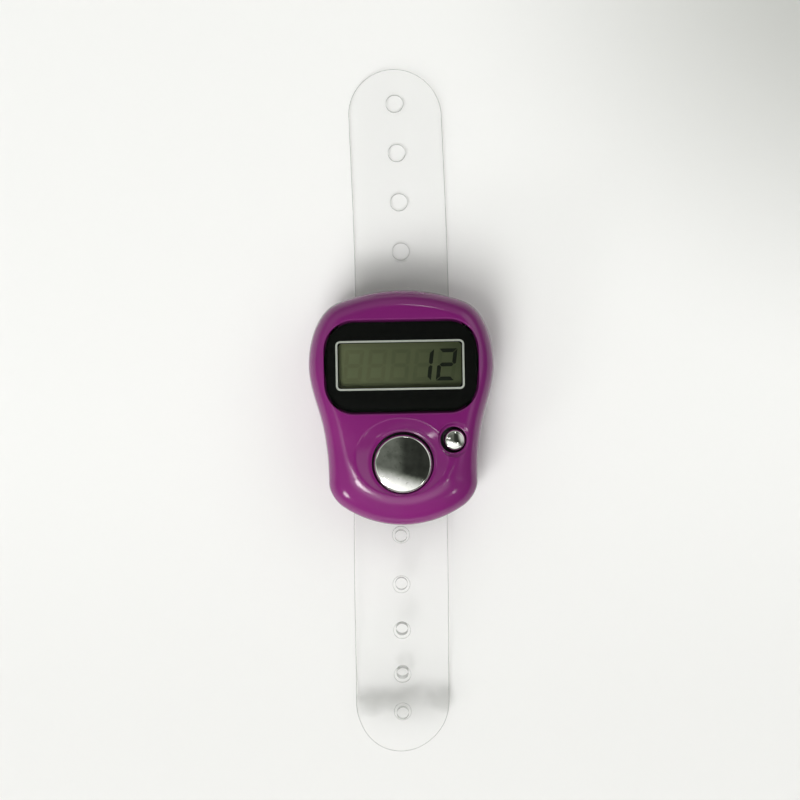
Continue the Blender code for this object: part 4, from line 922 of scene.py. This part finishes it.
def strap_stretch(name, side, lie, start, stop):
    """A stretch of the strap: sections along it, each a ring over the top and back under. The half
    thickness falls to nothing at the rim along a quarter circle, and the tip is a half disc."""
    soft, spacing = 0.5, 0.35
    near = soft * (1 - np.cos(np.radians(np.linspace(0, 90, 7))))
    share = np.concatenate([near / tip_r, np.linspace(soft / tip_r, 1, 9)[1:]])
    tip = stop >= strap_half
    straight = strap_half - tip_r
    last = min(stop, straight)
    along = np.linspace(start, last, max(3, int((last - start) / spacing)))
    if tip:
        along = np.concatenate([along, straight + tip_r * np.sin(np.radians(np.linspace(0, 90, 46)[1:]))])
    past = np.clip(along - straight, 0, None)
    reach = np.sqrt(np.clip(tip_r**2 - past**2, 0, None))
    q = np.concatenate([-(1 - share), (1 - share)[::-1][1:]])
    x = reach[:, None] * q
    to_rim = np.where(past[:, None] > 0, tip_r - np.hypot(x, past[:, None]), tip_r - np.abs(x))
    inside = np.clip(to_rim / soft, 0, 1)
    half = strap_thick / 2 * np.sqrt(np.clip(1 - (1 - inside) ** 2, 0, 1))
    step = 0.05
    slope = (eased(lie, along + step) - eased(lie, along - step)) / (2 * step)
    lean = 1 / np.sqrt(1 + slope**2)
    middle = eased(lie, along)
    columns = []
    for face in (1, -1):
        off = face * half
        y = side * (along[:, None] - off * (slope * lean)[:, None])
        z = middle[:, None] + off * lean[:, None]
        columns.append(np.stack([x + eased(sway, side * along)[:, None], y, z], -1))
    ring = np.concatenate([columns[0], columns[1][:, -2:0:-1]], 1)
    count = ring.shape[1]
    faces = grid_faces(len(ring), count).tolist()
    top = len(q)
    caps = []
    ends = [0] if tip else [0, len(ring) - 1]
    for row in ends:
        under = [0] + list(range(count - 1, top - 1, -1)) + [top - 1]
        for k in range(top - 1):
            caps.append([row * count + n for n in (k, k + 1, under[k + 1], under[k])])
    return mesh_piece(name, ring.reshape(-1, 3), faces + caps, sharp=50.0), len(caps)


def hole_cutter(distance):
    """A bore through the strap with both mouths softly flared."""
    hole_r = 1.38
    z = float(eased(hole_lie, distance)[0])
    top = fillet(hole_r, z + strap_thick / 2, 0.16, 6, 80.0)
    under = [(r, 2 * z - h) for r, h in reversed(top)]
    profile = [(0.0, under[0][1])] + under + top + [(0.0, top[-1][1])]
    return shell("strap_bore", turned(profile, 40, (float(eased(sway, distance)[0]), distance), 0.4))


def stud_body(distance):
    """A mushroom stud: a waisted neck and a domed head, standing square on the strap's slope."""
    z = float(eased(stud_lie, distance)[0])
    slope = float((eased(stud_lie, distance + 0.05) - eased(stud_lie, distance - 0.05))[0] / 0.1)
    root = strap_thick / 2
    neck_r, spread, head_r, head_low, dome = 0.94, 0.18, 1.4, 1.72, 0.6
    t = np.radians(np.linspace(0, 90, 6))
    profile = [(0.0, 0.1), (neck_r + spread, 0.1)]
    profile += list(zip(neck_r + spread * (1 - np.sin(t)), root + spread * (1 - np.cos(t)) - 0.02))
    neck = ((0.92, 0.9), (0.95, 1.4), (1.18, 1.52), (1.36, 1.62), (head_r, head_low))
    profile += [(r, root + h) for r, h in neck]
    t = np.radians(np.linspace(0, 90, 8)[1:])
    profile += list(zip(head_r * np.cos(t), root + head_low + dome * np.sin(t)))
    profile[-1] = (0.0, profile[-1][1])
    rings = np.array(turned(profile, 40, phase=0.4))
    angle = -math.atan(slope)
    y, h = -rings[..., 1], rings[..., 2]
    turned_y = y * math.cos(angle) + h * math.sin(angle)
    turned_h = -y * math.sin(angle) + h * math.cos(angle)
    rings[..., 0] += eased(sway, -distance)[0]
    rings[..., 1] = -(distance + turned_y)
    rings[..., 2] = z + turned_h
    return shell("strap_stud", rings)


def clear_vinyl():
    """Soft clear vinyl: light passes where it is seen square on, while rims and slanted faces turn grey and
    mirror. Near the loop and where its tip curls up it is painted grey as shade. The second finish, for cut
    ends inside the strap, is wholly clear."""
    made, place = new_finish("clear_vinyl")
    ripple = place.noise(0.18, 2.0).bump(0.05, 0.4)
    skin = principled(place, Base_Color=(0.25, 0.26, 0.235, 1.0), Roughness=0.12, IOR=1.5, Normal=ripple)
    facing = place.node("ShaderNodeLayerWeight", sockets={"Blend": 0.5, "Normal": ripple}, out=1)
    rim = (facing ** 3.2) * 0.85 + facing.clamp(0.36, 0.68, 0.0, 0.35, soft=True)
    y = place.axis(1)
    cloud = place.noise(0.12, 3.0)
    # Painted shade: a grey cloud where the curled tip casts its shadow, and grey near the case where the
    # strap slants up into the loop.
    from_curl = (y + 46.9 * MM + (cloud - 0.5) * (7.0 * MM)).absolute()
    painted_shade = from_curl.clamp(2.6 * MM, 0.6 * MM, 0.0, 0.12, soft=True) * cloud.clamp(0.3, 0.6)
    painted_shade = painted_shade + y.clamp(26.5 * MM, 20.0 * MM, 0.0, 0.11, soft=True) * y.clamp(14.0 * MM, 16.0 * MM)
    see_through(made, rim + painted_shade + 0.001, (1.0, 1.0, 1.0), skin)
    gone, place = new_finish("clear_cut_end")
    surface(gone, place, Base_Color=(0.9, 0.9, 0.9, 1.0), Alpha=0.0, Roughness=0.5)
    return made, gone


vinyl, cut_end = clear_vinyl()


def strap_piece(name, side, start, stop, nodes):
    """One stretch with its holes or studs."""
    lie = hole_lie if side > 0 else stud_lie
    piece, caps = strap_stretch(name, side, lie, start, stop)
    wear(piece, vinyl)
    piece.data.materials.append(cut_end)
    count = len(piece.data.polygons)
    marks = np.zeros(count, np.int32)
    marks[count - caps:] = 1
    piece.data.polygons.foreach_set("material_index", marks)
    for distance in hole_places if side > 0 else stud_places:
        if start < distance < stop:
            if side > 0:
                carve(piece, hole_cutter(distance), sharp=50.0)
            else:
                carve(piece, stud_body(distance), "UNION", sharp=50.0)
    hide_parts(*nodes)
    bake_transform(piece)


# Each row names a stretch and gives where it ends and the zone in which it bends, as distances from the
# middle of the strap.
hole_stretches = (
    ("root", 18.6, (15.7, 18.3)),
    ("middle", 29.0, (18.9, 21.5)),
    ("end", strap_half, (35.4, 38.6)),
)
stud_stretches = (
    ("root", 19.2, (15.7, 18.3)),
    ("middle", 31.0, (21.7, 23.7)),
    ("far", 40.45, (36.7, 40.3)),
    ("end", strap_half, (43.8, 47.4)),
)
for side, kind, stretches in ((1, "hole", hole_stretches), (-1, "stud", stud_stretches)):
    start, near_body = 0.0, "case"
    nodes = ["strap_middle"] if side > 0 else []
    for number, (place, stop, bend) in enumerate(stretches, 1):
        far_body = f"{kind}_side_{place}"
        nodes.append(f"strap_{kind}_side_{number}")
        strap_piece(f"strap_{kind}s_{place}", side, start, stop, nodes)
        start, near_body, nodes = stop, far_body, []


# The studio: a pale floor, a broad soft light off the key end, a room that the glossy pieces mirror, and
# a camera that looks straight down as the photograph does.

def pale_floor():
    """White card with a painted shadow round a spot off the upper right corner; it is also slightly darker
    towards the bottom of the picture."""
    made, place = new_finish("pale_floor")
    shadow_spot = (85 * MM, 85 * MM, 0.0)
    away = place.node("ShaderNodeVectorMath", {"operation": "DISTANCE"}, {0: place, 1: shadow_spot}, out=1)
    card = place.axis(1).clamp(5 * MM, -60 * MM, soft=True).tint((0.853, 0.851, 0.853), (0.79, 0.786, 0.787))
    # Painted shadow: the floor darkens round the spot, as if something outside the frame shaded it.
    colour = away.clamp(10 * MM, 85 * MM, soft=True).tint((0.47, 0.475, 0.46), card)
    return surface(made, place, Base_Color=colour, Roughness=0.75, Specular_IOR_Level=0.2)


floor_half = 3000.0
corners = [(sx * floor_half, sy * floor_half, 0.0) for sx, sy in ((-1, -1), (1, -1), (1, 1), (-1, 1))]
floor = mesh_piece("floor", corners, [(0, 1, 2, 3)])
wear(floor, pale_floor())


def area_light(name, off_zenith, azimuth, away, width, height, power, colour):
    """A rectangular light aimed at the object, tilted off the zenith towards an azimuth in degrees, which
    is 0 towards +Y and 90 towards +X. Polished faces don't mirror it."""
    lamp = bpy.data.lights.new(name, "AREA")
    lamp.shape = "RECTANGLE"
    lamp.size, lamp.size_y = width, height
    lamp.energy = power
    lamp.color = colour
    made = bpy.data.objects.new(name, lamp)
    tilt, turn = math.radians(off_zenith), math.radians(azimuth)
    out = away * math.sin(tilt)
    made.location = (out * math.sin(turn), out * math.cos(turn), away * math.cos(tilt))
    made.rotation_euler = (tilt, 0.0, math.pi - turn)
    bpy.context.scene.collection.objects.link(made)
    made.visible_camera = False
    made.visible_glossy = False


area_light("soft_key", 38.0, 206.0, 1.3, 0.6, 0.6, 9.5, (1.0, 1.0, 0.98))


def room():
    """Light from all round, by direction: dark overhead round the camera, a bright window just off the
    zenith towards the key end, paler walls beyond the display end, and a few ceiling lamps. A direction
    is given by u and v, tan(half its angle off the zenith) along X and along Y."""
    world = bpy.data.worlds.new("room")
    bpy.context.scene.world = world
    world.use_nodes = True
    tree = world.node_tree
    tree.nodes.clear()
    way = Wire(tree, tree.nodes.new("ShaderNodeTexCoord").outputs["Generated"])
    x, y, z = (way.axis(k) for k in range(3))
    up = z.maths("MAXIMUM", z, -0.9) + 1.0
    u, v = x / up, y / up

    def patch(u0, v0, wide, high, strength, soft=0.15):
        """A soft-edged oval of light."""
        across, along = (u - u0) * (1 / wide), (v - v0) * (1 / high)
        return ((across * across + along * along) ** 0.5).clamp(1 + soft, 1 - soft, 0.0, strength, soft=True)

    blotches = {"Vector": way, "Scale": 9.0, "Detail": 4.0, "Roughness": 0.6}
    mottle = way.node("ShaderNodeTexNoise", sockets=blotches)
    off = (u * u + v * v) ** 0.5 + (mottle - 0.5) * 0.06
    window = (v + u * 0.30 + (mottle - 0.5) * 0.04).clamp(-0.055, -0.15, soft=True)
    window = window * off.clamp(0.34, 0.2, soft=True) * (u + 0.1).absolute().clamp(0.32, 0.2, soft=True)
    beyond = off.clamp(0.17, 0.34, soft=True)
    right = patch(0.36, 0.16, 0.2, 0.3, 0.75, 0.3)
    walls = v.clamp(0.0, 0.25, 0.22, 0.45, soft=True) * off.clamp(0.75, 0.55, 0.5, 1.0, soft=True) * beyond
    dim = u.clamp(0.02, -0.04, 0.04, 0.16, soft=True) * mottle.clamp(0.3, 0.7, 0.7, 1.4)
    level = walls + right + dim + window * 1.6
    # Each lamp's u and v, its half widths along them, and its strength.
    lamps = (
        (-0.1, -0.13, 0.035, 0.035, 20.0),
        (0.105, -0.12, 0.012, 0.014, 9.0),
        (-0.47, -0.45, 0.07, 0.07, 14.0),
        (0.29, -0.34, 0.035, 0.035, 6.0),
        (-0.17, 0.045, 0.04, 0.025, 2.0),
        (0.035, 0.25, 0.03, 0.02, 9.0),
    )
    for u0, v0, wide, high, strength in lamps:
        level = level + patch(u0, v0, wide, high, strength)
    colour = level.clamp(0.1, 0.8).tint((0.93, 1.0, 0.86), (1.0, 0.995, 0.98))
    glow = way.node("ShaderNodeBackground", sockets={"Color": colour, "Strength": level})
    end = tree.nodes.new("ShaderNodeOutputWorld")
    tree.links.new(glow.socket, end.inputs["Surface"])


room()

camera = bpy.data.objects.new("camera", bpy.data.cameras.new("camera"))
camera.data.sensor_width = 36.0
camera.data.lens = 69.6
camera.data.clip_start = 0.01
camera.data.clip_end = 10.0
camera.location = (-0.3 * MM, 1.18 * MM, 250.0 * MM)
camera.rotation_euler = (0.0, 0.0, math.radians(-1.0))
bpy.context.scene.collection.objects.link(camera)
bpy.context.scene.camera = camera
bpy.context.scene.view_settings.view_transform = "Standard"
